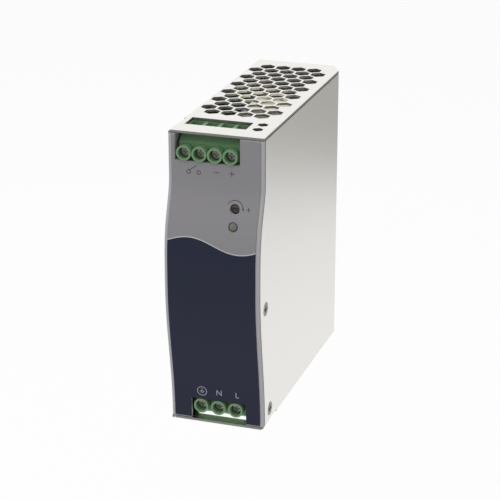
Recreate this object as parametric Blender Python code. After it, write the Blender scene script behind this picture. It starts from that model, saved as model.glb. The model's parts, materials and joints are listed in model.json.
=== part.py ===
"""DIN rail power supply: a slim metal-cased supply with screw terminals and a sprung rail latch.

Case coordinates: X to the right, Y from the flat of the front back to the rail, Z up from the base.
The root empty moves them so that the part's origin is the middle of the rail seat.
"""
from math import cos, pi, radians, sin, sqrt

import bmesh
import bpy
from mathutils import Matrix, Vector

# Case
CASE_WIDTH = 0.0400
CASE_HEIGHT = 0.1252
CASE_DEPTH = 0.1130
SHEET = 0.0010
BEND_RADIUS = 0.0016
GAP = 0.0003
SEAM = 0.0005

# Front cover: flat beside the upper terminals, then a crest that eases out towards the base
CREST_RISE = 0.0066
CREST_HEIGHT = 0.0626
UPPER_FLAT = 0.0200
COVER_PLATE = 0.0012
COVER_EDGE_RADIUS = 0.0008
SKIRT_DEPTH = 0.0140
SKIRT_WALL = 0.0012
PROFILE_STEPS = 30

# Front label
LABEL_FILM = 0.00025
LABEL_GAP = 0.0001
LABEL_SIDE_MARGIN = 0.0015
LABEL_END_MARGIN = 0.0005

# Top and bottom grilles: a honeycomb behind the wire slots
HEX_PITCH = 0.00708
HEX_WEB = 0.00098
HEX_ROWS = 13
HEX_SHIFT = -0.00096
HEX_REAR_MARGIN = 0.0108
SMALL_HEX_X = 0.01375
SMALL_HEX_MARGIN = 0.0033
SMALL_HEX_ACROSS = 0.0040

# Wire slots and the bend reliefs beside them
SLOT_FRONT = 0.0092
SLOT_REAR = 0.0188
LOWER_SLOT_FRONT = 0.0050
RELIEF_FRONT = 0.0078
RELIEF_REAR = 0.0179
RELIEF_WIDTH = 0.0013

# Rail and the channel for it
RAIL_HEIGHT = 0.0350
RAIL_DEPTH = 0.0075
RAIL_LIP = 0.0010
RAIL_PLAY = 0.0003
CHANNEL_LOW_PLAY = 0.0008
REAR_CHAMFER = 0.0044
REAR_FLANGE = 0.0060

# Rail bracket, latch and spring
BRACKET_SHEET = 0.0015
BRACKET_WIDTH = 0.0220
BRACKET_FOOT = 0.0100
HOOK_WIDTH = 0.0065
HOOK_SHEET = 0.0017
HOOK_REACH = 0.0036
LATCH_WIDTH = 0.0140
LATCH_THICKNESS = 0.0030
LATCH_FOOT = 0.0075
LATCH_REACH = 0.0036
LATCH_NOSE_BEVEL = 0.0012
LATCH_TRAVEL = 0.0055
GUIDE_WALL = 0.0016
GUIDE_LIP = 0.0018
GUIDE_LENGTH = 0.0080
WINDOW_WIDTH = 0.0060
STOP_WIDTH = 0.0046
STOP_HEIGHT = 0.0020
SPRING_LENGTH = 0.0140
SPRING_WIRE = 0.0005
SPRING_RADIUS = 0.00125
SPRING_TURNS = 8
TURN_POINTS = 9
PULL_SLOT_WIDTH = 0.0060
PULL_SLOT_HEIGHT = 0.0014
GROOVE_PLAY = 0.0010
PAD_HEIGHT = 0.0088
BEAD_WIDTH = 0.0006
BEAD_DEPTH = 0.0005

# Screw terminals
BLOCK_DEPTH = 0.0200
BLOCK_FRONT = 0.0030
BLOCK_STEP = 0.0030
BLOCK_HEIGHT = 0.0187
BLOCK_FACE_BELOW = 0.0041
BLOCK_FACE_ABOVE = 0.0035
BLOCK_SLOPE_END = 0.0074
CAVITY_FRONT = 0.0089
CAVITY_REAR = 0.0185
CAVITY_DEPTH = 0.0142
CAVITY_WIDTH = 0.0050
COLLAR_FRONT = -0.0011
COLLAR_DIAMETER = 0.0063
SCREW_HEAD_DIAMETER = 0.0040
SCREW_HEAD_HEIGHT = 0.0020
SCREW_HEAD_DEPTH = 0.0014
SCREW_SHANK_DIAMETER = 0.0026
CAGE_WALL = 0.0008
CAGE_DEPTH = 0.0068
CAGE_HEIGHT = 0.0050
CLAMP_TRAVEL = 0.0020
CONTACT_SHEET = 0.0008
CONTACT_PLAY = 0.0012
CONTACT_TAIL = 0.0022
OUTPUT_POLES = 4
OUTPUT_PITCH = 0.00644
OUTPUT_CENTRE = -0.0035
OUTPUT_INSET = 0.0088
INPUT_POLES = 3
INPUT_PITCH = 0.00746
INPUT_CENTRE = 0.0006
INPUT_INSET = 0.0076
WINDOW_SIDE_PLAY = 0.0007
WINDOW_END_PLAY = 0.0001

# Trimmer and indicator, side by side with the label's right edge
TRIMMER_X = 0.0086
TRIMMER_DROP = 0.0294
TRIMMER_HOLE = 0.0042
TRIMMER_BODY = 0.0090
TRIMMER_BODY_DEPTH = 0.0060
TRIMMER_SEAT = 0.0030
TRIMMER_SLOT = 0.0007
LED_X = 0.0086
LED_DROP = 0.0361
LED_DIAMETER = 0.0034
LED_STAND = 0.0008
LED_LENGTH = 0.0080

# Case screws, one pair in each side
CASE_SCREW_HEAD = 0.0056
CASE_SCREW_NECK = 0.0036
CASE_SCREW_SHANK = 0.0026
CASE_SCREW_LENGTH = 0.0050
CASE_SCREW_BACKSET = 0.0074
CASE_SCREW_UPPER = 0.0530
CASE_SCREW_LOWER = 0.0062
BRACKET_SCREW_HEAD = 0.0052
BRACKET_SCREW_RISE = 0.0014
BRACKET_SCREW_SHANK = 0.0026
BRACKET_SCREW_LENGTH = 0.0060
BRACKET_SCREW_SPREAD = 0.0075

# Boards
BOARD_SHEET = 0.0016
BOARD_STANDOFF = 0.0010
BOARD_FRONT = 0.0220
BOARD_END_GAP = 0.0020
BOARD_REAR_GAP = 0.0025
INSULATION_SHEET = 0.0003
LEAD_GAP = 0.0003

# Transformer under the top grille, carried from the main board by its bobbin's foot
CORE_WIDTH = 0.0271
CORE_DEPTH = 0.0270
CORE_HEIGHT = 0.0130
CORE_LIMB = 0.0042
CORE_LEG = 0.0090
WINDING_WALL = 0.0040
TRANSFORMER_FRONT = 0.0405
TRANSFORMER_DROP = 0.0032
TRANSFORMER_PLAY = 0.0006

# Heatsinks: aluminium angles across the case
SINK_SHEET = 0.0020
SINK_FLANGE = 0.0090
PRIMARY_SINK_HEIGHT = 0.0420
PRIMARY_SINK_AHEAD = 0.0110
PRIMARY_SINK_ABOVE = 0.0570
PRIMARY_SINK_PLAY = 0.0031
SECONDARY_SINK_HEIGHT = 0.0300
SECONDARY_SINK_BEHIND = 0.0020
SECONDARY_SINK_ABOVE = 0.0490
SECONDARY_SINK_PLAY = 0.0051

# Box-shaped components: finish, width from the board, depth, height, edge of the board they are set out from,
# distance from that edge, and distance above the board's low edge
BOXES = {
    "switching_transistor": ("black_plastic", 0.0150, 0.0045, 0.0160, "rear", 0.0158, 0.0670),
    "output_rectifier": ("black_plastic", 0.0150, 0.0045, 0.0160, "front", 0.0133, 0.0550),
    "bridge_rectifier": ("black_plastic", 0.0180, 0.0040, 0.0220, "front", 0.0420, 0.0030),
    "line_filter_capacitor": ("yellow_film", 0.0140, 0.0100, 0.0180, "front", 0.0020, 0.0170),
    "signal_relay": ("white_plastic", 0.0110, 0.0100, 0.0120, "rear", 0.0270, 0.0845),
    "control_board": ("board", 0.0200, 0.0012, 0.0260, "front", 0.0320, 0.0400),
}

# Round components on end: length, diameter, bore, edge they are set out from, distance from it, and height of
# their axis above the board's low edge, or below its high edge where that is negative
CANS = {
    "bulk_capacitor": ("sleeve", 0.0310, 0.0220, 0, "rear", 0.0130, 0.0370),
    "output_capacitor_1": ("sleeve", 0.0220, 0.0110, 0, "front", 0.0125, -0.0067),
    "output_capacitor_2": ("sleeve", 0.0220, 0.0110, 0, "front", 0.0080, 0.0425),
    "input_choke": ("copper", 0.0110, 0.0200, 0.0080, "front", 0.0260, 0.0230),
    "output_choke": ("copper", 0.0110, 0.0160, 0.0060, "front", 0.0380, 0.0760),
}
FUSE_DIAMETER = 0.0060
FUSE_LENGTH = 0.0110
FUSE_STAND = 0.0015
FUSE_BEHIND = 0.0080
FUSE_ABOVE = 0.0030

CIRCLE_SIDES = 24
SMALL_SIDES = 16
MARGIN = 0.0050

# Places that follow from the sizes above
SEAT_DEPTH = CASE_DEPTH - RAIL_DEPTH
RAIL_MIDDLE = CASE_HEIGHT / 2
RIGHT = CASE_WIDTH / 2
LEFT = -RIGHT
COVER_LOW = SHEET + GAP
COVER_HIGH = CASE_HEIGHT - SHEET - GAP
PLATE_FLOOR = SEAT_DEPTH - BRACKET_SHEET - GAP
CHANNEL_HIGH = RAIL_MIDDLE + RAIL_HEIGHT / 2 + RAIL_PLAY + HOOK_SHEET + GAP
CHANNEL_LOW = RAIL_MIDDLE - RAIL_HEIGHT / 2 - CHANNEL_LOW_PLAY
BOARD_LEFT = LEFT + SHEET + BOARD_STANDOFF
BOARD_FACE = BOARD_LEFT + BOARD_SHEET
PART_ROOT = BOARD_FACE + LEAD_GAP
BOARD_LOW = SHEET + BOARD_END_GAP
BOARD_HIGH = CASE_HEIGHT - SHEET - BOARD_END_GAP
BOARD_REAR = SEAT_DEPTH - REAR_FLANGE - BOARD_REAR_GAP
TRIMMER_HEIGHT = CASE_HEIGHT - TRIMMER_DROP
LED_HEIGHT = CASE_HEIGHT - LED_DROP
CAGE_FRONT = CAVITY_FRONT + GAP + CLAMP_TRAVEL

AXES = {
    "X": ((0, 1, 0), (0, 0, 1), (1, 0, 0)),
    "Y": ((1, 0, 0), (0, 0, 1), (0, -1, 0)),
    "Z": ((1, 0, 0), (0, 1, 0), (0, 0, 1)),
}

FINISHES = {
    "satin_steel": ((0.78, 0.77, 0.75), 0.35, 1.0),
    "zinc": ((0.62, 0.63, 0.62), 0.40, 1.0),
    "spring_steel": ((0.55, 0.55, 0.56), 0.30, 1.0),
    "plated_screw": ((0.70, 0.69, 0.66), 0.28, 1.0),
    "aluminium": ((0.76, 0.77, 0.78), 0.38, 1.0),
    "copper": ((0.80, 0.62, 0.42), 0.30, 1.0),
    "grey_moulding": ((0.42, 0.42, 0.44), 0.50, 0.0),
    "label_film": ((0.06, 0.07, 0.11), 0.40, 0.0),
    "green_moulding": ((0.10, 0.26, 0.10), 0.45, 0.0),
    "lens": ((0.20, 0.20, 0.18), 0.25, 0.0),
    "black_plastic": ((0.02, 0.02, 0.02), 0.45, 0.0),
    "white_plastic": ((0.80, 0.79, 0.74), 0.45, 0.0),
    "blue_plastic": ((0.08, 0.16, 0.42), 0.45, 0.0),
    "board": ((0.16, 0.30, 0.14), 0.50, 0.0),
    "ferrite": ((0.06, 0.06, 0.065), 0.60, 0.0),
    "cream_tape": ((0.78, 0.70, 0.48), 0.55, 0.0),
    "sleeve": ((0.05, 0.07, 0.16), 0.40, 0.0),
    "ceramic": ((0.85, 0.84, 0.80), 0.35, 0.0),
    "insulation": ((0.75, 0.74, 0.70), 0.50, 0.0),
    "yellow_film": ((0.70, 0.58, 0.16), 0.45, 0.0),
}


def clear_scene():
    for leftover in list(bpy.data.objects):
        bpy.data.objects.remove(leftover, do_unlink=True)


def new_collection(name):
    collection = bpy.data.collections.new(name)
    bpy.context.scene.collection.children.link(collection)
    return collection


clear_scene()
PARTS = new_collection("din_rail_power_supply")
CUTTERS = new_collection("cutters")
ROOT = bpy.data.objects.new("case_corner", None)
ROOT.location = (0, -SEAT_DEPTH, -RAIL_MIDDLE)
PARTS.objects.link(ROOT)


def finish_of(name, finish):
    """A material of the piece's own, with the finish's colour, roughness and metallic value."""
    colour, roughness, metallic = FINISHES[finish]
    material = bpy.data.materials.new(name + "_" + finish)
    material.use_nodes = True
    shader = material.node_tree.nodes["Principled BSDF"]
    shader.inputs["Base Color"].default_value = (*colour, 1)
    shader.inputs["Roughness"].default_value = roughness
    shader.inputs["Metallic"].default_value = metallic
    material.diffuse_color = (*colour, 1)
    return material


def place(name, mesh):
    """A new object for the mesh, in case coordinates."""
    piece = bpy.data.objects.new(name, mesh)
    piece.parent = ROOT
    PARTS.objects.link(piece)
    return piece


def from_bmesh(name, shape):
    bmesh.ops.recalc_face_normals(shape, faces=shape.faces)
    mesh = bpy.data.meshes.new(name)
    shape.to_mesh(mesh)
    shape.free()
    return place(name, mesh)


def from_curve(name, curve, matrix):
    """The curve's mesh, with its caps welded, moved by the matrix."""
    guide = bpy.data.objects.new(name + "_guide", curve)
    bpy.context.scene.collection.objects.link(guide)
    graph = bpy.context.evaluated_depsgraph_get()
    mesh = bpy.data.meshes.new_from_object(guide.evaluated_get(graph))
    bpy.data.objects.remove(guide, do_unlink=True)
    shape = bmesh.new()
    shape.from_mesh(mesh)
    bpy.data.meshes.remove(mesh)
    bmesh.ops.remove_doubles(shape, verts=shape.verts, dist=1e-6)
    bmesh.ops.transform(shape, matrix=matrix, verts=shape.verts)
    return from_bmesh(name, shape)


def extruded(name, outlines, axis, low, high):
    """Flat closed outlines, filled and extruded along an axis from low to high."""
    curve = bpy.data.curves.new(name, "CURVE")
    curve.dimensions = "2D"
    curve.fill_mode = "BOTH"
    curve.extrude = (high - low) / 2
    for outline in outlines:
        spline = curve.splines.new("POLY")
        spline.points.add(len(outline) - 1)
        for point, (across, up) in zip(spline.points, outline):
            point.co = (across, up, 0, 1)
        spline.use_cyclic_u = True
    across, up, along = (Vector(direction) for direction in AXES[axis])
    turn = Matrix((across, up, along)).transposed().to_4x4()
    middle = Vector([abs(part) for part in along]) * (low + high) / 2
    return from_curve(name, curve, Matrix.Translation(middle) @ turn)


def block(name, low, high):
    """A box between two corners."""
    low = Vector(low)
    high = Vector(high)
    shape = bmesh.new()
    bmesh.ops.create_cube(shape, size=1)
    bmesh.ops.scale(shape, vec=high - low, verts=shape.verts)
    bmesh.ops.translate(shape, vec=(low + high) / 2, verts=shape.verts)
    return from_bmesh(name, shape)


def cone(name, axis, centre, low, high, low_diameter, high_diameter, sides=CIRCLE_SIDES):
    """A cylinder or cone along an axis; centre gives the two other coordinates in order."""
    shape = bmesh.new()
    bmesh.ops.create_cone(
        shape, cap_ends=True, segments=sides, depth=high - low,
        radius1=low_diameter / 2, radius2=high_diameter / 2,
    )
    turn = {"X": Matrix.Rotation(pi / 2, 4, "Y"), "Y": Matrix.Rotation(-pi / 2, 4, "X"), "Z": Matrix()}[axis]
    spot = list(centre)
    spot.insert("XYZ".index(axis), (low + high) / 2)
    bmesh.ops.transform(shape, matrix=Matrix.Translation(spot) @ turn, verts=shape.verts)
    return from_bmesh(name, shape)


def rod(name, axis, centre, low, high, diameter, sides=CIRCLE_SIDES):
    return cone(name, axis, centre, low, high, diameter, diameter, sides)


def change(piece, other, operation):
    modifier = piece.modifiers.new(other.name, "BOOLEAN")
    modifier.operation = operation
    modifier.solver = "EXACT"
    modifier.object = other
    other.hide_render = True
    other.display_type = "WIRE"
    if other.name in PARTS.objects:
        PARTS.objects.unlink(other)
        CUTTERS.objects.link(other)


def cut(piece, *cutters):
    for cutter in cutters:
        change(piece, cutter, "DIFFERENCE")
    return piece


def join(piece, *others):
    for other in others:
        change(piece, other, "UNION")
    return piece


def dress(piece, finish, smooth_angle=35):
    """The piece's own material, and smooth shading on its round faces."""
    piece.data.materials.append(finish_of(piece.name, finish))
    piece.data.shade_smooth()
    piece.data.set_sharp_from_angle(angle=radians(smooth_angle))
    return piece


def turn_about(piece, point):
    """Moves the piece's origin to a point on its joint's axis, without moving its shape."""
    piece.data.transform(Matrix.Translation(-Vector(point)))
    piece.location = point


def rise_at(height):
    """How far the front stands forward of its flat at this height."""
    shoulder = CASE_HEIGHT - UPPER_FLAT
    if height >= shoulder or height <= 0:
        return 0.0
    if height >= CREST_HEIGHT:
        share = ((height - CREST_HEIGHT) / (shoulder - CREST_HEIGHT)) ** 2
    else:
        share = (CREST_HEIGHT - height) / CREST_HEIGHT
    return CREST_RISE * cos(share * pi / 2) ** 2


def front_curve(offset, low, high):
    """(Y, Z) points of the front's profile, set back by an offset, from low to high."""
    heights = [low + (high - low) * step / PROFILE_STEPS for step in range(PROFILE_STEPS + 1)]
    return [(offset - rise_at(height), height) for height in heights]


def front_sheet(name, near, far, low, high, left, right):
    """A sheet that follows the front's profile between two setbacks, with four corners at each step."""
    shape = bmesh.new()
    rings = []
    for (ahead, height), (behind, _) in zip(front_curve(near, low, high), front_curve(far, low, high)):
        corners = ((left, ahead), (right, ahead), (right, behind), (left, behind))
        rings.append([shape.verts.new((across, depth, height)) for across, depth in corners])
    for end in (rings[0], rings[-1]):
        shape.faces.new(end)
    for lower, upper in zip(rings, rings[1:]):
        for corner, following in ((0, 1), (1, 2), (2, 3), (3, 0)):
            shape.faces.new((lower[corner], lower[following], upper[following], upper[corner]))
    return from_bmesh(name, shape)


def arc(centre, radius, start, end, steps=6):
    angles = [radians(start + (end - start) * step / steps) for step in range(steps + 1)]
    return [(centre[0] + radius * cos(angle), centre[1] + radius * sin(angle)) for angle in angles]


def bent_sheet(corner_x, corner_z, wall_end, flat_end):
    """The outline of one bend: a wall from wall_end up to a rounded corner, then a flat to flat_end."""
    side = 1 if flat_end > corner_x else -1
    rise = 1 if corner_z > wall_end else -1
    centre = (corner_x + side * BEND_RADIUS, corner_z - rise * BEND_RADIUS)
    outer = arc((0, 0), BEND_RADIUS, 180, 90)
    inner = arc((0, 0), BEND_RADIUS - SHEET, 90, 180)
    turn = [(centre[0] + side * x, centre[1] + rise * z) for x, z in outer]
    back = [(centre[0] + side * x, centre[1] + rise * z) for x, z in inner]
    flat_in = (flat_end, corner_z - rise * SHEET)
    wall_in = (corner_x + side * SHEET, wall_end)
    return [(corner_x, wall_end), *turn, (flat_end, corner_z), flat_in, *back, wall_in]


def hexagon(centre, across):
    """A hexagon with its points fore and aft, so that the rows nest as a honeycomb."""
    radius = across / sqrt(3)
    corners = [radians(30 + 60 * step) for step in range(6)]
    return [(centre[0] + radius * cos(turn), centre[1] + radius * sin(turn)) for turn in corners]


def grille_outlines():
    """Rows of four and five hexagons by turns, from the rear to the wire slot, and two small ones by it."""
    row_step = HEX_PITCH * sqrt(3) / 2
    outlines = []
    for row in range(HEX_ROWS):
        count = 5 if row % 2 else 4
        depth = CASE_DEPTH - HEX_REAR_MARGIN - row * row_step
        for column in range(count):
            across = HEX_SHIFT + (column - (count - 1) / 2) * HEX_PITCH
            outlines.append(hexagon((across, depth), HEX_PITCH - HEX_WEB))
    for side in (-1, 1):
        depth = (SLOT_FRONT + SLOT_REAR) / 2 + side * SMALL_HEX_MARGIN
        outlines.append(hexagon((SMALL_HEX_X, depth), SMALL_HEX_ACROSS))
    return outlines


def block_span(poles, pitch, centre):
    half = poles * pitch / 2
    return centre - half, centre + half


def window_span(poles, pitch, centre):
    left, right = block_span(poles, pitch, centre)
    return left - WINDOW_SIDE_PLAY, right + WINDOW_SIDE_PLAY


def window_inset(inset):
    """How far from the end of the case a terminal window reaches."""
    return inset + COLLAR_DIAMETER / 2 + WINDOW_END_PLAY


def window_cutters(tag):
    """The openings of the front cover round the two rows of terminals."""
    out_left, out_right = window_span(OUTPUT_POLES, OUTPUT_PITCH, OUTPUT_CENTRE)
    in_left, in_right = window_span(INPUT_POLES, INPUT_PITCH, INPUT_CENTRE)
    near = -CREST_RISE - MARGIN
    far = COVER_PLATE + SKIRT_DEPTH + MARGIN
    upper = block(
        tag + "_output_window", (out_left, near, CASE_HEIGHT - window_inset(OUTPUT_INSET)),
        (out_right, far, CASE_HEIGHT + MARGIN),
    )
    lower = block(tag + "_input_window", (in_left, near, -MARGIN), (in_right, far, window_inset(INPUT_INSET)))
    return upper, lower


def control_holes(tag):
    """The holes for the trimmer and the indicator through the front."""
    near = -CREST_RISE - MARGIN
    far = COVER_PLATE + MARGIN
    trimmer = rod(tag + "_trimmer_hole", "Y", (TRIMMER_X, TRIMMER_HEIGHT), near, far, TRIMMER_HOLE)
    indicator = rod(tag + "_led_hole", "Y", (LED_X, LED_HEIGHT), near, far, LED_DIAMETER + 2 * GAP)
    return trimmer, indicator


def case_screw_spots():
    """(Y, Z) of the screws that hold each side to the front cover's skirt."""
    heights = (CASE_SCREW_UPPER, CASE_SCREW_LOWER)
    return [(COVER_PLATE + CASE_SCREW_BACKSET - rise_at(height), height) for height in heights]


def case_screw_name(side, index):
    return ("right" if side > 0 else "left") + "_case_screw_" + ("upper", "lower")[index]


def screw_cutters(tag, side):
    """The countersunk holes in one side of the case, cut a little past both faces of the sheet."""
    past = SHEET / 4
    low, high = sorted((side * (RIGHT + past), side * (RIGHT - SHEET - past)))
    flare = (CASE_SCREW_HEAD - CASE_SCREW_NECK) * past / SHEET
    wide = CASE_SCREW_HEAD + 2 * GAP + flare
    narrow = CASE_SCREW_NECK + 2 * GAP - flare
    ends = (narrow, wide) if side > 0 else (wide, narrow)
    return [
        cone("%s_screw_sink_%d" % (tag, index), "X", spot, low, high, *ends)
        for index, spot in enumerate(case_screw_spots())
    ]


def front_trim(tag):
    """The space in front of the sheets, up to the cover's plate and, above and below it, up to the flat."""
    curve = front_curve(COVER_PLATE + SEAM, COVER_LOW - GAP / 2, COVER_HIGH + GAP / 2)
    ahead = -CREST_RISE - 2 * MARGIN
    below = -MARGIN
    above = CASE_HEIGHT + MARGIN
    foot = [(ahead, below), (0, below), (0, curve[0][1])]
    head = [(0, curve[-1][1]), (0, above), (ahead, above)]
    outline = foot + curve + head
    return extruded(tag + "_front_trim", [outline], "X", LEFT - MARGIN, RIGHT + MARGIN)


def rear_chamfer(tag):
    """The corner that is cut from the top and bottom sheets behind the right side."""
    outline = [
        (RIGHT - REAR_CHAMFER, CASE_DEPTH), (RIGHT - REAR_CHAMFER, CASE_DEPTH + MARGIN),
        (RIGHT + MARGIN, CASE_DEPTH + MARGIN), (RIGHT + MARGIN, SEAT_DEPTH), (RIGHT, SEAT_DEPTH),
    ]
    return extruded(tag + "_rear_chamfer", [outline], "Z", -MARGIN, CASE_HEIGHT + MARGIN)


def slot_cutter(tag, poles, pitch, centre, front, low, high):
    left, right = block_span(poles, pitch, centre)
    return block(tag + "_wire_slot", (left, front, low), (right, SLOT_REAR, high))


def make_chassis():
    """The left side and the top: one bent sheet with the grille, the upper wire slot and the rail notch."""
    outline = bent_sheet(LEFT, CASE_HEIGHT, 0, RIGHT)
    chassis = extruded("chassis", [outline], "Y", -CREST_RISE, CASE_DEPTH)
    above = CASE_HEIGHT + MARGIN
    under = CASE_HEIGHT - 2 * SHEET
    cut(
        chassis,
        front_trim("chassis"),
        extruded("top_grille", grille_outlines(), "Z", under, CASE_HEIGHT + SHEET),
        slot_cutter("top", OUTPUT_POLES, OUTPUT_PITCH, OUTPUT_CENTRE, SLOT_FRONT, under, above),
        block(
            "top_relief", (LEFT - MARGIN, RELIEF_FRONT, CASE_HEIGHT - BEND_RADIUS),
            (LEFT + RELIEF_WIDTH, RELIEF_REAR, above),
        ),
        rear_chamfer("chassis"),
        block(
            "rail_notch", (LEFT - MARGIN, PLATE_FLOOR, CHANNEL_LOW),
            (LEFT + SHEET + MARGIN, CASE_DEPTH + MARGIN, CHANNEL_HIGH),
        ),
        *screw_cutters("left", -1),
    )
    return dress(chassis, "satin_steel")


def make_side_cover():
    """The right side and the bottom: the other bent sheet, with the lower slot, grille and latch opening."""
    outline = bent_sheet(RIGHT, 0, CASE_HEIGHT - SHEET - GAP, LEFT + SHEET + GAP)
    cover = extruded("side_cover", [outline], "Y", -CREST_RISE, CASE_DEPTH)
    below = -MARGIN
    bottom = 2 * SHEET
    cut(
        cover,
        front_trim("side_cover"),
        extruded("bottom_grille", bottom_grille_outlines(), "Z", -SHEET, bottom),
        slot_cutter("bottom", INPUT_POLES, INPUT_PITCH, INPUT_CENTRE, LOWER_SLOT_FRONT, below, bottom),
        block(
            "bottom_relief", (RIGHT - RELIEF_WIDTH, RELIEF_FRONT, below),
            (RIGHT + MARGIN, RELIEF_REAR, BEND_RADIUS),
        ),
        rear_chamfer("side_cover"),
        block(
            "side_rear_trim", (RIGHT - 2 * SHEET, SEAT_DEPTH, BEND_RADIUS),
            (RIGHT + MARGIN, CASE_DEPTH + MARGIN, CASE_HEIGHT + MARGIN),
        ),
        block(
            "latch_opening", (-groove_half(), PLATE_FLOOR - SHEET, below),
            (groove_half(), CASE_DEPTH + MARGIN, bottom),
        ),
        *screw_cutters("right", 1),
    )
    return dress(cover, "satin_steel")


def groove_half():
    """Half the width of the groove in the rear panel that the bracket and latch lie in."""
    return BRACKET_WIDTH / 2 + GROOVE_PLAY


def bottom_grille_outlines():
    """The top's honeycomb, less the rows that would run into the latch opening."""
    reach = HEX_PITCH / sqrt(3)
    kept = PLATE_FLOOR - SHEET - REAR_FLANGE - reach
    honeycomb = grille_outlines()[:-2]
    return [outline for outline in honeycomb if sum(point[1] for point in outline) / 6 < kept]


def rear_plan(inset):
    """The rear panel's plan: square at the left, chamfered at the right, grown inwards by an inset."""
    left = LEFT + SHEET + GAP + inset
    right = RIGHT - SHEET - GAP - inset
    rear = CASE_DEPTH - inset
    run = REAR_CHAMFER - SHEET - GAP
    slope = RAIL_DEPTH / REAR_CHAMFER
    knee = rear - run * slope
    front = SEAT_DEPTH - REAR_FLANGE - (MARGIN if inset else 0)
    return [(left, front), (right, front), (right, knee), (right - run, rear), (left, rear)]


def rear_body(tag, inset):
    """The rear panel's outer form, or with an inset its hollow: box, rail channel and latch groove."""
    low = SHEET + GAP + inset
    high = CASE_HEIGHT - SHEET - GAP - inset
    body = extruded(tag, [rear_plan(inset)], "Z", low, high)
    floor = PLATE_FLOOR - inset
    channel = block(
        tag + "_channel", (LEFT - MARGIN, floor, CHANNEL_LOW - inset),
        (RIGHT + MARGIN, CASE_DEPTH + MARGIN, CHANNEL_HIGH + inset),
    )
    groove = block(
        tag + "_groove", (-groove_half() - inset, floor, -MARGIN),
        (groove_half() + inset, CASE_DEPTH + MARGIN, RAIL_MIDDLE),
    )
    return cut(body, join(channel, groove))


def bracket_screw_heights():
    return [RAIL_MIDDLE + side * BRACKET_SCREW_SPREAD for side in (-1, 1)]


def bracket_screw_holes(tag):
    near = PLATE_FLOOR - MARGIN
    size = BRACKET_SCREW_SHANK + 2 * GAP
    return [
        rod("%s_hole_%d" % (tag, index), "Y", (0, height), near, SEAT_DEPTH + MARGIN, size, SMALL_SIDES)
        for index, height in enumerate(bracket_screw_heights())
    ]


def vent_relief():
    """The notch in the rear panel's top flange that leaves the last row of the honeycomb open."""
    half = 2 * HEX_PITCH + HEX_WEB
    front = SEAT_DEPTH - REAR_FLANGE - MARGIN
    rear = CASE_DEPTH - HEX_REAR_MARGIN + HEX_PITCH / sqrt(3)
    top = CASE_HEIGHT - SHEET
    return block("vent_relief", (HEX_SHIFT - half, front, top - 3 * SHEET), (HEX_SHIFT + half, rear, top))


def make_rear_panel():
    """The back of the case: a folded sheet with the rail channel across it and the latch groove below."""
    panel = rear_body("rear_panel", 0)
    cut(panel, rear_body("rear_hollow", SHEET), vent_relief(), *bracket_screw_holes("rear_panel"))
    return dress(panel, "satin_steel")


def make_front_cover():
    """The moulded front: a plate on the S-shaped profile with a skirt inside each side of the case."""
    cover = front_sheet("front_cover", 0, COVER_PLATE, COVER_LOW, COVER_HIGH, LEFT, RIGHT)
    round_sides(cover)
    overlap = COVER_PLATE / 2
    for side in (-1, 1):
        outer = side * (RIGHT - SHEET - GAP)
        left, right = sorted((outer, outer - side * SKIRT_WALL))
        skirt = front_sheet(
            "skirt_%d" % side, COVER_PLATE - overlap, COVER_PLATE + SKIRT_DEPTH,
            COVER_LOW + GAP, COVER_HIGH - GAP, left, right,
        )
        join(cover, skirt)
    hole = CASE_SCREW_SHANK + 2 * GAP
    screw_holes = [
        rod("skirt_screw_hole_%d" % index, "X", spot, LEFT - MARGIN, RIGHT + MARGIN, hole, SMALL_SIDES)
        for index, spot in enumerate(case_screw_spots())
    ]
    cut(cover, *window_cutters("cover"), *control_holes("cover"), *screw_holes)
    return dress(cover, "grey_moulding")


def round_sides(cover):
    """Rounds the two long front edges of the cover's plate."""
    shape = bmesh.new()
    shape.from_mesh(cover.data)
    edges = []
    for edge in shape.edges:
        on_side = all(abs(abs(corner.co.x) - RIGHT) < GAP / 10 for corner in edge.verts)
        on_front = all(abs(corner.co.y + rise_at(corner.co.z)) < GAP / 10 for corner in edge.verts)
        if on_side and on_front and abs(edge.verts[0].co.x - edge.verts[1].co.x) < GAP:
            edges.append(edge)
    radius = min(COVER_EDGE_RADIUS, COVER_PLATE * 0.9)
    bmesh.ops.bevel(
        shape, geom=edges, offset=radius, segments=3, profile=0.5, affect="EDGES",
        clamp_overlap=True, material=-1,
    )
    shape.to_mesh(cover.data)
    shape.free()


def make_front_label():
    """The printed film on the front, cut round the terminals, the trimmer and the indicator."""
    label = front_sheet(
        "front_label", -LABEL_GAP - LABEL_FILM, -LABEL_GAP,
        COVER_LOW + LABEL_END_MARGIN, COVER_HIGH - LABEL_END_MARGIN,
        LEFT + LABEL_SIDE_MARGIN, RIGHT - LABEL_SIDE_MARGIN,
    )
    cut(label, *window_cutters("label"), *control_holes("label"))
    return dress(label, "label_film")


def latch_back():
    """Y of the latch's face towards the bracket, and of its rear face."""
    near = SEAT_DEPTH + GAP
    return near, near + LATCH_THICKNESS


def latch_shoulder():
    """Z of the latch's shoulder, just under the rail's lower lip."""
    return RAIL_MIDDLE - RAIL_HEIGHT / 2 - RAIL_PLAY


def stop_span():
    """Z of the bracket's stop that the spring stands on."""
    foot = LATCH_FOOT + STOP_HEIGHT + LATCH_TRAVEL
    return foot, foot + STOP_HEIGHT


def spring_span():
    low = stop_span()[1] + GAP
    return low, low + SPRING_LENGTH


def spring_axis():
    return SEAT_DEPTH + GAP + SPRING_RADIUS + SPRING_WIRE


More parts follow.
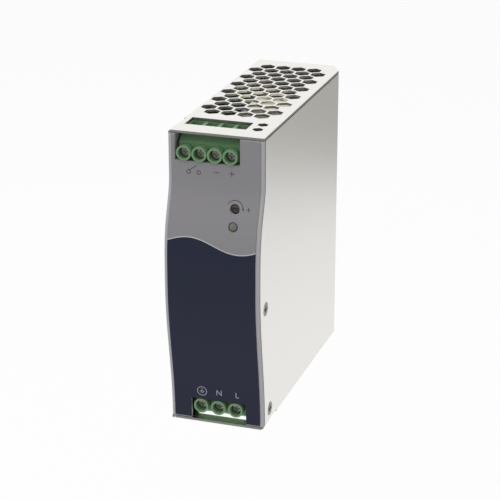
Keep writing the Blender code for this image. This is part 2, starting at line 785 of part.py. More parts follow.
def make_rail_bracket():
    """The steel bracket on the rear panel: two hooks over the rail's upper lip and guides for the latch."""
    top = RAIL_MIDDLE + RAIL_HEIGHT / 2 + RAIL_PLAY + HOOK_SHEET
    half = BRACKET_WIDTH / 2
    near = SEAT_DEPTH - BRACKET_SHEET
    bracket = block("rail_bracket", (-half, near, BRACKET_FOOT), (half, SEAT_DEPTH, top))
    lip_back = SEAT_DEPTH + RAIL_LIP + RAIL_PLAY
    tip = RAIL_MIDDLE + RAIL_HEIGHT / 2 - HOOK_REACH
    hook = [
        (near + BRACKET_SHEET / 2, top - HOOK_SHEET), (lip_back, top - HOOK_SHEET), (lip_back, tip),
        (lip_back + HOOK_SHEET / 2, tip), (lip_back + HOOK_SHEET, tip + HOOK_SHEET / 2),
        (lip_back + HOOK_SHEET, top),
        (near + BRACKET_SHEET / 2, top),
    ]
    for side in (-1, 1):
        left, right = sorted((side * half, side * (half - HOOK_WIDTH)))
        join(bracket, extruded("hook_%d" % side, [hook], "X", left, right))
        for level in range(2):
            join(bracket, make_guide(side, level))
    low, high = stop_span()
    stop_back = latch_back()[1]
    stop = block(
        "spring_stop", (-STOP_WIDTH / 2, near + BRACKET_SHEET / 2, low), (STOP_WIDTH / 2, stop_back, high),
    )
    join(bracket, stop)
    cut(bracket, *bracket_screw_holes("bracket"), *rail_pad_beads())
    return dress(bracket, "zinc")


def rail_pad_beads():
    """Two shallow grooves across the bracket that set off the flat rail pad between the screws."""
    half = BRACKET_WIDTH / 2 + MARGIN
    beads = []
    for index, side in enumerate((-1, 1)):
        edge = RAIL_MIDDLE + side * PAD_HEIGHT / 2
        low, high = sorted((edge, edge + side * BEAD_WIDTH))
        beads.append(block(
            "pad_bead_%d" % index, (-half, SEAT_DEPTH - BEAD_DEPTH, low), (half, SEAT_DEPTH + MARGIN, high),
        ))
    return beads


def make_guide(side, level):
    """One folded guide that keeps the latch on the bracket; two stand on each side of it."""
    wall_in = LATCH_WIDTH / 2 + GAP
    wall_out = wall_in + GUIDE_WALL
    lip_near = latch_back()[1] + GAP
    near = SEAT_DEPTH - BRACKET_SHEET / 2
    outline = [
        (wall_in, near), (wall_out, near), (wall_out, lip_near + GUIDE_WALL),
        (wall_in - GUIDE_LIP, lip_near + GUIDE_WALL), (wall_in - GUIDE_LIP, lip_near), (wall_in, lip_near),
    ]
    outline = [(side * across, depth) for across, depth in outline]
    first = BRACKET_FOOT
    last = CHANNEL_LOW - GAP - GUIDE_LENGTH
    low = first + (last - first) * level
    return extruded("guide_%d_%d" % (side, level), [outline], "Z", low, low + GUIDE_LENGTH)


def make_rail_latch():
    """The sliding latch: a nose behind the rail's lower lip, a spring window and a slot to pull it by."""
    near, back = latch_back()
    shoulder = latch_shoulder()
    nose_front = SEAT_DEPTH + RAIL_LIP + RAIL_PLAY
    nose_top = RAIL_MIDDLE - RAIL_HEIGHT / 2 + LATCH_REACH
    outline = [
        (near, LATCH_FOOT), (back, LATCH_FOOT), (back, nose_top - LATCH_NOSE_BEVEL),
        (back - LATCH_NOSE_BEVEL, nose_top), (nose_front, nose_top), (nose_front, shoulder), (near, shoulder),
    ]
    latch = extruded("rail_latch", [outline], "X", -LATCH_WIDTH / 2, LATCH_WIDTH / 2)
    half = WINDOW_WIDTH / 2
    window = block(
        "spring_window", (-half, near - MARGIN, stop_span()[0] - GAP),
        (half, back + MARGIN, spring_span()[1] + GAP),
    )
    pull_low = LATCH_FOOT + PULL_SLOT_HEIGHT
    pull = block(
        "pull_slot", (-PULL_SLOT_WIDTH / 2, near - MARGIN, pull_low),
        (PULL_SLOT_WIDTH / 2, back + MARGIN, pull_low + PULL_SLOT_HEIGHT),
    )
    cut(latch, window, pull)
    turn_about(latch, (0, near, shoulder))
    return dress(latch, "zinc")


def spring_points():
    """Points of the latch spring's helix, about ninety, with its ends a wire's radius inside its length."""
    low, high = spring_span()
    low += SPRING_WIRE / 2
    high -= SPRING_WIRE / 2
    count = SPRING_TURNS * TURN_POINTS
    points = []
    for step in range(count + 1):
        angle = 2 * pi * step / TURN_POINTS
        across = SPRING_RADIUS * cos(angle)
        depth = spring_axis() + SPRING_RADIUS * sin(angle)
        points.append(Vector((across, depth, low + (high - low) * step / count)))
    return points


def least_gap(points, wire):
    """The least clear distance between turns of one tube, measured on its points."""
    gaps = []
    for first, here in enumerate(points):
        gaps += [(here - there).length for there in points[first + TURN_POINTS // 2:]]
    return min(gaps) - wire


def make_latch_spring():
    """The compression spring that pushes the latch up: one unbroken wire."""
    points = spring_points()
    print("latch_spring least gap %.2f mm" % (1000 * least_gap(points, SPRING_WIRE)))
    curve = bpy.data.curves.new("latch_spring", "CURVE")
    curve.dimensions = "3D"
    curve.bevel_depth = SPRING_WIRE / 2
    curve.bevel_resolution = 1
    curve.use_fill_caps = True
    spline = curve.splines.new("POLY")
    spline.points.add(len(points) - 1)
    for spot, point in zip(spline.points, points):
        spot.co = (*point, 1)
    return dress(from_curve("latch_spring", curve, Matrix()), "spring_steel", 80)


def make_bracket_screws():
    holder = SEAT_DEPTH + GAP
    for name, height in zip(("lower", "upper"), bracket_screw_heights()):
        screw = rod(
            "bracket_screw_" + name, "Y", (0, height), holder, holder + BRACKET_SCREW_RISE,
            BRACKET_SCREW_HEAD,
        )
        shank = rod(
            "bracket_shank_" + name, "Y", (0, height), holder - BRACKET_SCREW_LENGTH,
            holder + BRACKET_SCREW_RISE / 2, BRACKET_SCREW_SHANK, SMALL_SIDES,
        )
        join(screw, shank)
        cut(screw, *cross_recess(screw.name, holder + BRACKET_SCREW_RISE, 1, height, 0, BRACKET_SCREW_HEAD))
        dress(screw, "plated_screw")


def cross_recess(tag, face, facing, height, across, head):
    """A cross-shaped driver recess in a screw head that faces along Y."""
    length = head * 0.62
    width = head * 0.16
    depth = head * 0.22
    near, far = sorted((face - facing * depth, face + facing * depth))
    bars = []
    for index, (wide, tall) in enumerate(((length, width), (width, length))):
        bars.append(block(
            "%s_recess_%d" % (tag, index), (across - wide / 2, near, height - tall / 2),
            (across + wide / 2, far, height + tall / 2),
        ))
    return [join(bars[0], bars[1])]


def terminal_row(name, poles, pitch, centre, inset, upper):
    """A row of rising-clamp terminals: the moulded housing, then each pole's screw, clamp and contact."""

    def height(reach):
        return CASE_HEIGHT - reach if upper else reach

    left, right = block_span(poles, pitch, centre)
    end = SHEET + GAP
    face_low = inset + BLOCK_FACE_BELOW
    face_high = inset - BLOCK_FACE_ABOVE
    profile = [
        (BLOCK_FRONT, face_high), (BLOCK_SLOPE_END, end), (BLOCK_DEPTH, end),
        (BLOCK_DEPTH, end + BLOCK_HEIGHT), (BLOCK_FRONT + BLOCK_STEP, end + BLOCK_HEIGHT),
        (BLOCK_FRONT + BLOCK_STEP, face_low), (BLOCK_FRONT, face_low),
    ]
    profile = [(depth, height(reach)) for depth, reach in profile]
    housing = extruded(name + "_housing", [profile], "X", left, right)
    axis = height(inset)
    spots = [centre + (pole - (poles - 1) / 2) * pitch for pole in range(poles)]
    head_bore = SCREW_HEAD_DIAMETER + 2 * GAP
    shank_bore = SCREW_SHANK_DIAMETER + 2 * GAP
    head_seat = SCREW_HEAD_DEPTH + SCREW_HEAD_HEIGHT + GAP
    tail_front, tail_rear = contact_span()
    for pole, across in enumerate(spots):
        tag = "%s_%d" % (name, pole + 1)
        join(housing, rod(
            tag + "_collar", "Y", (across, axis), COLLAR_FRONT, BLOCK_FRONT + BLOCK_STEP / 2, COLLAR_DIAMETER,
        ))
    for pole, across in enumerate(spots):
        tag = "%s_%d" % (name, pole + 1)
        floor = end + CAVITY_DEPTH
        low, high = sorted((height(end - MARGIN), height(floor)))
        tail_low, tail_high = sorted((height(floor - GAP), height(floor + CONTACT_TAIL + GAP)))
        cut(
            housing,
            rod(tag + "_head_bore", "Y", (across, axis), COLLAR_FRONT - MARGIN, head_seat, head_bore),
            rod(
                tag + "_shank_bore", "Y", (across, axis), head_seat - GAP, CAVITY_FRONT + GAP, shank_bore,
                SMALL_SIDES,
            ),
            block(
                tag + "_cavity", (across - CAVITY_WIDTH / 2, CAVITY_FRONT, low),
                (across + CAVITY_WIDTH / 2, CAVITY_REAR, high),
            ),
            block(
                tag + "_tail_slot", (across - contact_half() - GAP, tail_front - GAP, tail_low),
                (across + contact_half() + GAP, tail_rear + GAP, tail_high),
            ),
        )
        make_clamp_screw(tag, across, axis)
        make_clamp_cage(tag, across, axis)
        low, high = sorted((height(inset - CAGE_HEIGHT / 2 - CONTACT_PLAY), height(floor + CONTACT_TAIL)))
        contact = block(
            tag + "_contact", (across - contact_half(), tail_front, low),
            (across + contact_half(), tail_rear, high),
        )
        dress(contact, "copper")
    return dress(housing, "green_moulding")


def contact_half():
    """Half the contact's width: it stands inside the clamp cage."""
    return CAVITY_WIDTH / 2 - GAP - CAGE_WALL - GAP


def contact_span():
    """Y of the contact, in front of the wire's space and behind the screw's tip."""
    front = CAGE_FRONT + CAGE_WALL + CONTACT_PLAY + GAP
    return front, front + CONTACT_SHEET


def make_clamp_screw(tag, across, axis):
    """A terminal screw: it turns in the housing and draws its clamp forward."""
    head_front = SCREW_HEAD_DEPTH
    head_back = head_front + SCREW_HEAD_HEIGHT
    screw = rod(tag + "_screw", "Y", (across, axis), head_front, head_back, SCREW_HEAD_DIAMETER)
    tip = contact_span()[0] - GAP
    shank = rod(tag + "_shank", "Y", (across, axis), head_front + GAP, tip, SCREW_SHANK_DIAMETER, SMALL_SIDES)
    join(screw, shank)
    cut(screw, *cross_recess(screw.name, head_front, -1, axis, across, SCREW_HEAD_DIAMETER))
    turn_about(screw, (across, head_front, axis))
    dress(screw, "plated_screw")


def make_clamp_cage(tag, across, axis):
    """A clamp cage: a square loop round the contact, with the screw's hole in its front."""
    half = CAVITY_WIDTH / 2 - GAP
    rear = CAGE_FRONT + CAGE_DEPTH
    low = axis - CAGE_HEIGHT / 2
    high = axis + CAGE_HEIGHT / 2
    cage = block(tag + "_clamp", (across - half, CAGE_FRONT, low), (across + half, rear, high))
    loop = block(
        tag + "_clamp_loop", (across - half + CAGE_WALL, CAGE_FRONT + CAGE_WALL, low - MARGIN),
        (across + half - CAGE_WALL, rear - CAGE_WALL, high + MARGIN),
    )
    hole = rod(
        tag + "_clamp_hole", "Y", (across, axis), CAGE_FRONT - GAP, CAGE_FRONT + CAGE_WALL + GAP,
        SCREW_SHANK_DIAMETER + 2 * GAP, SMALL_SIDES,
    )
    cut(cage, loop, hole)
    turn_about(cage, (across, CAGE_FRONT, axis))
    dress(cage, "zinc")


def make_trimmer():
    """The adjusting trimmer: a slotted rotor in a square body behind the front's hole."""
    centre = (TRIMMER_X, TRIMMER_HEIGHT)
    front = -rise_at(TRIMMER_HEIGHT) + COVER_PLATE / 2
    body_front = COVER_PLATE + GAP - rise_at(TRIMMER_HEIGHT + TRIMMER_BODY / 2)
    body_back = body_front + TRIMMER_BODY_DEPTH
    seat = body_front + TRIMMER_SEAT
    half = TRIMMER_BODY / 2
    body = block(
        "trimmer_body", (TRIMMER_X - half, body_front, TRIMMER_HEIGHT - half),
        (TRIMMER_X + half, body_back, TRIMMER_HEIGHT + half),
    )
    cut(body, rod("trimmer_bore", "Y", centre, body_front - MARGIN, seat + GAP, TRIMMER_HOLE))
    dress(body, "blue_plastic")
    rotor = rod("trimmer_rotor", "Y", centre, front, seat, TRIMMER_HOLE - 2 * GAP)
    reach = TRIMMER_HOLE * 0.3
    slot = block(
        "trimmer_slot", (TRIMMER_X - reach, front - MARGIN, TRIMMER_HEIGHT - TRIMMER_SLOT / 2),
        (TRIMMER_X + reach, front + TRIMMER_SLOT, TRIMMER_HEIGHT + TRIMMER_SLOT / 2),
    )
    cut(rotor, slot)
    turn_about(rotor, (TRIMMER_X, front, TRIMMER_HEIGHT))
    dress(rotor, "white_plastic")


def make_status_led():
    """The indicator: a round lens with a domed end through the front."""
    front = -rise_at(LED_HEIGHT) - LED_STAND
    radius = LED_DIAMETER / 2
    profile = [(0.0, LED_LENGTH), (radius, LED_LENGTH)]
    profile += [(radius * cos(turn), LED_STAND * (1 - sin(turn))) for turn in (0, pi / 6, pi / 3)]
    profile.append((0.0, 0.0))
    shape = bmesh.new()
    corners = [shape.verts.new((across, depth, 0)) for across, depth in profile]
    edges = [shape.edges.new(pair) for pair in zip(corners, corners[1:])]
    bmesh.ops.spin(
        shape, geom=corners + edges, cent=(0, 0, 0), axis=(0, 1, 0), angle=2 * pi, steps=CIRCLE_SIDES,
        use_merge=True,
    )
    bmesh.ops.remove_doubles(shape, verts=shape.verts, dist=1e-6)
    bmesh.ops.translate(shape, vec=(LED_X, front, LED_HEIGHT), verts=shape.verts)
    dress(from_bmesh("status_led", shape), "lens")


def make_case_screws():
    """The countersunk screws through the sides into the front cover's skirts."""
    for side in (-1, 1):
        for index, spot in enumerate(case_screw_spots()):
            outside = side * RIGHT
            inside = side * (RIGHT - SHEET)
            low, high = sorted((outside, inside))
            ends = (CASE_SCREW_NECK, CASE_SCREW_HEAD) if side > 0 else (CASE_SCREW_HEAD, CASE_SCREW_NECK)
            screw = cone(case_screw_name(side, index), "X", spot, low, high, *ends)
            tip = outside - side * CASE_SCREW_LENGTH
            shank_low, shank_high = sorted((tip, outside - side * SHEET / 2))
            shank = rod(screw.name + "_shank", "X", spot, shank_low, shank_high, CASE_SCREW_SHANK, SMALL_SIDES)
            join(screw, shank)
            dress(screw, "plated_screw")


def make_boards():
    """The main board beside the left side, with a sheet of insulation behind it."""
    board = block("main_board", (BOARD_LEFT, BOARD_FRONT, BOARD_LOW), (BOARD_FACE, BOARD_REAR, BOARD_HIGH))
    dress(board, "board")
    back = LEFT + SHEET + (BOARD_STANDOFF - INSULATION_SHEET) / 2
    front = back + INSULATION_SHEET
    sheet = block("insulation_sheet", (back, BOARD_FRONT, BOARD_LOW), (front, BOARD_REAR, BOARD_HIGH))
    dress(sheet, "insulation")


def set_out(edge, distance):
    """Y of a point behind the board's front edge, or ahead of its rear edge."""
    return BOARD_FRONT + distance if edge == "front" else BOARD_REAR - distance


def make_box(name):
    """A box-shaped component that stands on the main board."""
    finish, width, depth, height, edge, distance, above = BOXES[name]
    front = set_out(edge, distance)
    low = BOARD_LOW + above
    piece = block(name, (PART_ROOT, front, low), (PART_ROOT + width, front + depth, low + height))
    dress(piece, finish)


def make_can(name):
    """A round component that stands on the main board, bored through where it is a ring."""
    finish, length, diameter, bore, edge, distance, above = CANS[name]
    centre = (set_out(edge, distance), (BOARD_LOW if above > 0 else BOARD_HIGH) + above)
    piece = rod(name, "X", centre, PART_ROOT, PART_ROOT + length, diameter)
    if bore:
        cut(piece, rod(name + "_bore", "X", centre, PART_ROOT - MARGIN, PART_ROOT + length + MARGIN, bore))
    dress(piece, finish)


def make_transformer():
    """The transformer: a flat ferrite core with a centre leg, and the taped winding round that leg."""
    right = RIGHT - SHEET - TRANSFORMER_PLAY
    left = right - CORE_WIDTH
    middle = (left + right) / 2
    front = TRANSFORMER_FRONT
    rear = front + CORE_DEPTH
    wound_high = CASE_HEIGHT - TRANSFORMER_DROP
    high = wound_high - WINDING_WALL - GAP
    low = high - CORE_HEIGHT
    wound_low = low - GAP - WINDING_WALL
    outer = [(left, front), (right, front), (right, rear), (left, rear)]
    windows = []
    for near, far in ((left + CORE_LIMB, middle - CORE_LEG / 2), (middle + CORE_LEG / 2, right - CORE_LIMB)):
        windows.append([
            (near, front + CORE_LIMB), (far, front + CORE_LIMB),
            (far, rear - CORE_LIMB), (near, rear - CORE_LIMB),
        ])
    dress(extruded("transformer_core", [outer, *windows], "Z", low, high), "ferrite")
    inset = CORE_LIMB + GAP
    winding = block(
        "transformer_winding", (left + inset, front + inset, wound_low),
        (right - inset, rear - inset, wound_high),
    )
    bore = CORE_LEG / 2 + GAP
    cut(winding, block("winding_bore", (middle - bore, front, low - GAP), (middle + bore, rear, high + GAP)))
    foot = block(
        "bobbin_foot", (PART_ROOT, front + inset, wound_low), (left + inset + GAP, rear - inset, low - GAP),
    )
    join(winding, foot)
    dress(winding, "cream_tape")


def make_heatsink(name, front, low, height, play):
    """An aluminium angle from the main board to near the right side, with a flange along its far edge."""
    right = RIGHT - SHEET - play
    outline = [
        (PART_ROOT, front), (right, front), (right, front + SINK_FLANGE),
        (right - SINK_SHEET, front + SINK_FLANGE),
        (right - SINK_SHEET, front + SINK_SHEET), (PART_ROOT, front + SINK_SHEET),
    ]
    dress(extruded(name, [outline], "Z", low, low + height), "aluminium")


def make_electronics():
    """What the supply holds inside: input filter, primary, transformer, secondary and control."""
    make_transformer()
    make_heatsink(
        "primary_heatsink", set_out("rear", PRIMARY_SINK_AHEAD), BOARD_LOW + PRIMARY_SINK_ABOVE,
        PRIMARY_SINK_HEIGHT,
        PRIMARY_SINK_PLAY,
    )
    make_heatsink(
        "secondary_heatsink", set_out("front", SECONDARY_SINK_BEHIND), BOARD_LOW + SECONDARY_SINK_ABOVE,
        SECONDARY_SINK_HEIGHT, SECONDARY_SINK_PLAY,
    )
    for name in BOXES:
        make_box(name)
    for name in CANS:
        make_can(name)
    axis = (PART_ROOT + FUSE_STAND + FUSE_DIAMETER / 2, set_out("front", FUSE_BEHIND))
    low = BOARD_LOW + FUSE_ABOVE
    dress(rod("fuse", "Z", axis, low, low + FUSE_LENGTH, FUSE_DIAMETER), "ceramic")


def main():
    make_chassis()
    make_side_cover()
    make_rear_panel()
    make_front_cover()
    make_front_label()
    make_rail_bracket()
    make_rail_latch()
    make_latch_spring()
    make_bracket_screws()
    terminal_row("output", OUTPUT_POLES, OUTPUT_PITCH, OUTPUT_CENTRE, OUTPUT_INSET, True)
    terminal_row("input", INPUT_POLES, INPUT_PITCH, INPUT_CENTRE, INPUT_INSET, False)
    make_trimmer()
    make_status_led()
    make_case_screws()
    make_boards()
    make_electronics()


main()
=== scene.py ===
"""Dresses the packed DIN rail power supply: finishes, soft edges, the printed front and a plain studio."""

import json
from math import atan, pi, radians

import bmesh
import bpy
from bpy.props import FloatProperty, FloatVectorProperty, PointerProperty
from mathutils import Matrix, Vector
from mathutils.bvhtree import BVHTree


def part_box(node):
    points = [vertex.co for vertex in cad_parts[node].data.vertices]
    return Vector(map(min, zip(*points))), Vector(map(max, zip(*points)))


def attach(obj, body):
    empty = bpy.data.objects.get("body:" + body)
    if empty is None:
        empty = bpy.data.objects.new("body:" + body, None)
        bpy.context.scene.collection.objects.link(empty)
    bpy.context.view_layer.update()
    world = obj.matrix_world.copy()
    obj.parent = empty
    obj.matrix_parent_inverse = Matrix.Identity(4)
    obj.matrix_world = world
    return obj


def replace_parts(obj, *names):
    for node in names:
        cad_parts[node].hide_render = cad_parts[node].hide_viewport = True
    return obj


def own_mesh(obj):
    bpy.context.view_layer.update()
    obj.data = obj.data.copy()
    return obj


bl_info = {
    "name": "Rail power supply looks",
    "version": (1, 0, 0),
    "blender": (4, 5, 0),
    "location": "3D View > Sidebar > Rail supply",
    "description": "Finishes, printed signs and studio for a DIN rail power supply",
    "category": "Object",
}

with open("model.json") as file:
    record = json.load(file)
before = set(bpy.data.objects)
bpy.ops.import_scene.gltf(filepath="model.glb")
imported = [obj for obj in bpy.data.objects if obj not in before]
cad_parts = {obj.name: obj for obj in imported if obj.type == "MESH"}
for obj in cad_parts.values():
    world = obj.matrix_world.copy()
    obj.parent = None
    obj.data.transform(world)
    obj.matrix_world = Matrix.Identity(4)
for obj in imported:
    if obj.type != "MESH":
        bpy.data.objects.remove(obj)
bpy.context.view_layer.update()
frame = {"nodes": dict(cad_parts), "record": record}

BODY = "case"
POLES = ["output_%d" % pole for pole in (1, 2, 3, 4)] + ["input_%d" % pole for pole in (1, 2, 3)]
FILM_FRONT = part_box("front_label")[0].y
CASE_LOW, CASE_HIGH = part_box("chassis")
CASE_MIDDLE = (CASE_LOW.y + CASE_HIGH.y) / 2
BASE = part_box("side_cover")[0].z

# How the CAD solids are cleaned and softened.
MERGE = 1e-6
FLAT_WITHIN = radians(0.5)
SHARP_OVER = radians(30)
SMOOTH_UNDER = radians(40)
EDGE_SEGMENTS = 2

# How a sheet's cut edge is told: its lengths are multiples of the sheet's thickness.
LONG_SIDE = 1.1
SQUARE_OVER = radians(20)
DEEP_STEEL = 1.5

ROUND_SEGMENTS = 48
BAR_SEGMENTS = 4
CAPITAL_SHARE = 0.7
ARROW_NARROWING = 0.7
PRINT_DISTANCE = 1.0

GRAIN_DETAIL = 3
BUMP_STRENGTH = 0.5
# The wave texture repeats once in this length at a scale of one.
WAVE_PERIOD = pi / 10
WAVE_WOBBLE = 0.6
TRACK_SHADES = {"Color1": 0.3, "Color2": 0.5, "Mortar": 1.0}

PHOTO_PIXELS = 500
SENSOR = 36.0


def colour(name, value, words):
    """A colour that the panel shows."""
    return FloatVectorProperty(
        name=name, description=words, default=value, size=3, min=0, max=1, subtype="COLOR",
    )


def length(name, value, words):
    """A length in metres that the panel shows."""
    return FloatProperty(name=name, description=words, default=value, min=0, unit="LENGTH", precision=5)


def share(name, value, words):
    """A share from none to all that the panel shows."""
    return FloatProperty(name=name, description=words, default=value, min=0, max=1, subtype="FACTOR")


def number(name, value, words, unit="NONE"):
    """A plain number that the panel shows."""
    return FloatProperty(name=name, description=words, default=value, min=0, unit=unit)


def angle(name, value, words):
    """An angle, given in degrees, that the panel shows."""
    return FloatProperty(name=name, description=words, default=radians(value), subtype="ANGLE")


def position(name, value, words):
    """A place in the room that the panel shows."""
    return FloatVectorProperty(
        name=name, description=words, default=value, size=3, subtype="TRANSLATION", unit="LENGTH",
        precision=5,
    )


class CaseLook(bpy.types.PropertyGroup):
    """The sheet-metal case and its screws."""

    metal: colour("Sheet metal", (0.86, 0.845, 0.81), "Colour of the bent sheets")
    roughness: share("Sheet roughness", 0.34, "How satin the sheets are")
    grain: length("Grain", 0.0022, "Size of the faint mottle in the sheets' finish")
    mottle: share("Mottle", 0.03, "How much darker and lighter the mottle runs")
    sheen: share("Sheen", 0.04, "How far the mottle shifts the roughness")
    line_width: length("Line width", 0.000275, "Width of the fine lines in the sheets' finish")
    line_stretch: number("Line stretch", 12, "How many times longer than wide the fine lines are")
    line_depth: length("Line depth", 0.000003, "Depth of the fine lines")
    edge: length("Sheet edge", 0.00008, "Radius that softens the sheets' edges")
    # The cut edges are bare steel, made darker still as painted shade of the seams along the front cover and
    # between the sheets.
    cut: colour("Cut edges", (0.27, 0.262, 0.25), "Colour of the bare steel at the sheets' cut edges")
    thickness: length("Sheet thickness", 0.0010, "Thickness by which the sheets' cut edges are found")
    recess: share("Driver recess", 0.64, "Width of the case screws' cross recess as a share of the head")
    recess_arm: share("Recess arm", 0.25, "Half the width of the cross's arms as a share of their reach")
    recess_depth: share("Recess depth", 0.5, "Depth of the cross as a share of its arms' reach")
    recess_taper: share("Recess taper", 0.8, "Width of the cross at its floor as a share of its mouth")
    head_taper: share("Head taper", 0.4, "Width of the screw's inner end as a share of its head")


class FrontLook(bpy.types.PropertyGroup):
    """The moulded front cover and the film on it."""

    cover: colour("Cover", (0.385, 0.385, 0.405), "Colour of the moulded cover")
    film_upper: colour("Upper film", (0.238, 0.232, 0.246), "Colour of the film above the wave")
    film_lower: colour("Lower film", (0.010, 0.013, 0.034), "Colour of the film below the wave")
    film_line: colour("Wave line", (0.48, 0.48, 0.50), "Colour of the thin line on the wave")
    wave_middle: length("Wave height", 0.0809, "Mean height of the wave above the base")
    wave_rise: length("Wave rise", 0.0026, "How far the wave stands above and below its mean")
    wave_span: length("Wave length", 0.0410, "Distance from crest to crest")
    wave_shift: length("Wave crest", 0.0095, "How far left of the middle the crest lies")
    line_width: length("Line width", 0.0004, "Width of the thin line on the wave")
    film_grain: length("Film grain", 0.0004, "Size of the film's fine matt texture")
    film_gloss: share("Film gloss", 0.25, "How much the film mirrors its surroundings")
    edge: length("Cover edge", 0.0002, "Radius that softens the cover's edges")


class PrintLook(bpy.types.PropertyGroup):
    """The generic signs printed on the film."""

    dark: colour("Dark ink", (0.035, 0.036, 0.045), "Ink on the upper film")
    pale: colour("Pale ink", (0.31, 0.32, 0.36), "Ink on the lower film")
    stroke: length("Stroke", 0.00028, "Width of the printed lines")
    thickness: length("Ink", 0.00003, "Thickness of the printed ink")
    gap: length("Ink gap", 0.000006, "How far the ink's back lies in front of the film")
    letter: length("Letter height", 0.0025, "Height of the printed letters")


class RailLook(bpy.types.PropertyGroup):
    """The rail bracket, its screws, the latch and the spring."""

    spring: colour("Spring", (0.56, 0.56, 0.57), "Colour of the latch spring's wire")
    edge: length("Bracket edge", 0.00015, "Radius that softens the bracket and the latch")
    screw_edge: length("Bracket screw edge", 0.0001, "Radius that softens the bracket's screws")


class TerminalLook(bpy.types.PropertyGroup):
    """The screw terminals."""

    moulding: colour("Moulding", (0.132, 0.262, 0.125), "Colour of the terminal housings")
    # The screws' tint is darker than their plated metal: painted shade of the deep terminal collars and the
    # case screws' recesses.
    screw: colour("Screws", (0.25, 0.238, 0.22), "Colour of the plated screws")
    clamp: colour("Clamps", (0.60, 0.61, 0.60), "Colour of the clamp cages and other zinc plate")
    contact: colour("Contacts", (0.78, 0.66, 0.50), "Colour of the tinned contacts")
    edge: length("Moulded edge", 0.00025, "Radius that softens the housings' edges")
    screw_edge: length("Screw edge", 0.00012, "Radius that softens the terminal screws")
    clamp_edge: length("Clamp edge", 0.0001, "Radius that softens the clamp cages")


class ControlLook(bpy.types.PropertyGroup):
    """The trimmer and the indicator."""

    housing: colour("Trimmer housing", (0.012, 0.012, 0.014), "Colour of the trimmer's body")
    rotor: colour("Trimmer rotor", (0.055, 0.045, 0.036), "Colour of the part that turns")
    lens: colour("Lens", (0.150, 0.147, 0.130), "Colour of the unlit indicator")
    edge: length("Rotor edge", 0.0001, "Radius that softens the rotor")


class InsideLook(bpy.types.PropertyGroup):
    """The boards and power parts inside the case."""

    lacquer: colour("Lacquer", (0.030, 0.045, 0.026), "Colour of the boards' lacquer")
    tracks: length("Tracks", 0.012, "Size of the pattern of copper tracks")
    insulation: colour("Insulation", (0.10, 0.09, 0.075), "Colour of the insulating sheet")
    ferrite: colour("Ferrite", (0.035, 0.035, 0.038), "Colour of the transformer's core")
    tape: colour("Tape", (0.70, 0.66, 0.52), "Colour of the tape round the transformer")
    tape_pitch: length("Tape pitch", 0.0012, "Width of a layer of tape")
    copper: colour("Copper", (0.62, 0.34, 0.18), "Colour of the chokes' enamelled wire")
    wire_pitch: length("Wire pitch", 0.0009, "Distance from turn to turn of the chokes' wire")
    sinks: colour("Heat sinks", (0.030, 0.028, 0.026), "Colour of the anodised heat sinks")
    packages: colour("Packages", (0.018, 0.018, 0.018), "Colour of the semiconductors' packages")
    sleeves: colour("Sleeves", (0.012, 0.016, 0.055), "Colour of the round capacitors' sleeves")
    filter_case: colour("Filter capacitor", (0.62, 0.48, 0.10), "Colour of the filter capacitor's case")
    relay_case: colour("Relay", (0.66, 0.65, 0.60), "Colour of the relay's case")
    ceramic: colour("Fuse", (0.72, 0.71, 0.67), "Colour of the fuse's tube")


class StageLook(bpy.types.PropertyGroup):
    """The floor, the lamp and the camera."""

    floor: colour("Floor", (0.90, 0.90, 0.90), "Colour of the floor")
    drop: length("Floor drop", 0.150, "How far the floor lies below the base")
    reach: length("Floor reach", 6.0, "Half the width of the floor")
    whiteness: share("Floor whiteness", 0.90, "How far the seen floor is plain white; the rest is shadow")
    card: colour("Card", (0.43, 0.42, 0.40), "Colour of the ring of card that the satin sides mirror")
    card_inner: length("Card from", 0.72, "Inner radius of the ring of card")
    card_outer: length("Card to", 1.85, "Outer radius of the ring of card")
    card_lift: length("Card lift", 0.004, "How far the card lies above the floor")
    matt: share("Matt", 0.9, "Roughness of the floor and the card")
    fill: number("Fill light", 0.58, "Strength of the even light all round")
    key: number("Key lamp", 15.0, "Power of the key lamp", unit="POWER")
    key_place: position("Lamp place", (-0.3, -0.4, 1.2), "Where the key lamp hangs")
    spread: length("Lamp width", 2.0, "Width of the square key lamp")
    camera_place: position("Camera place", (0.2227, -0.7330, 0.2681), "Where the camera stands")
    camera_tilt: angle("Camera tilt", 20.87, "How far the camera looks down")
    camera_turn: angle("Camera turn", 18.39, "How far the camera is turned from straight ahead")
    focal_pixels: number("Focal length", 1787.0, "Focal length in pixels of the square frame")


LOOKS = {
    "supply_case": CaseLook,
    "supply_front": FrontLook,
    "supply_print": PrintLook,
    "supply_rail": RailLook,
    "supply_terminals": TerminalLook,
    "supply_controls": ControlLook,
    "supply_inside": InsideLook,
    "supply_stage": StageLook,
}


def look(name):
    """One group of sizes and colours."""
    return getattr(bpy.context.scene, name)


def add_node(owner, kind, **values):
    """A new node in a material or the world."""
    node = owner.node_tree.nodes.new(kind)
    for name, value in values.items():
        setattr(node, name, value)
    return node


def wire(owner, source, socket):
    """Joins two sockets in a material or the world."""
    owner.node_tree.links.new(source, socket)


def sums(owner, operation, first, second):
    """One step of arithmetic on sockets or numbers."""
    node = add_node(owner, "ShaderNodeMath", operation=operation)
    for socket, value in zip(node.inputs, (first, second)):
        if isinstance(value, (int, float)):
            socket.default_value = value
        else:
            wire(owner, value, socket)
    return node.outputs[0]


def shader_of(material):
    return material.node_tree.nodes["Principled BSDF"]


def new_material(name, tint, roughness, metallic=0.0):
    """A finish with its plain values on the shader's own sockets."""
    material = bpy.data.materials.new(name)
    material.use_nodes = True
    shader = shader_of(material)
    shader.inputs["Base Color"].default_value = (*tint, 1)
    shader.inputs["Roughness"].default_value = roughness
    shader.inputs["Metallic"].default_value = metallic
    return material


def object_place(material):
    """The place of the surface in the part's own frame, whole and as X, Y and Z."""
    place = add_node(material, "ShaderNodeTexCoord")
    split = add_node(material, "ShaderNodeSeparateXYZ")
    wire(material, place.outputs["Object"], split.inputs[0])
    return place.outputs["Object"], split.outputs


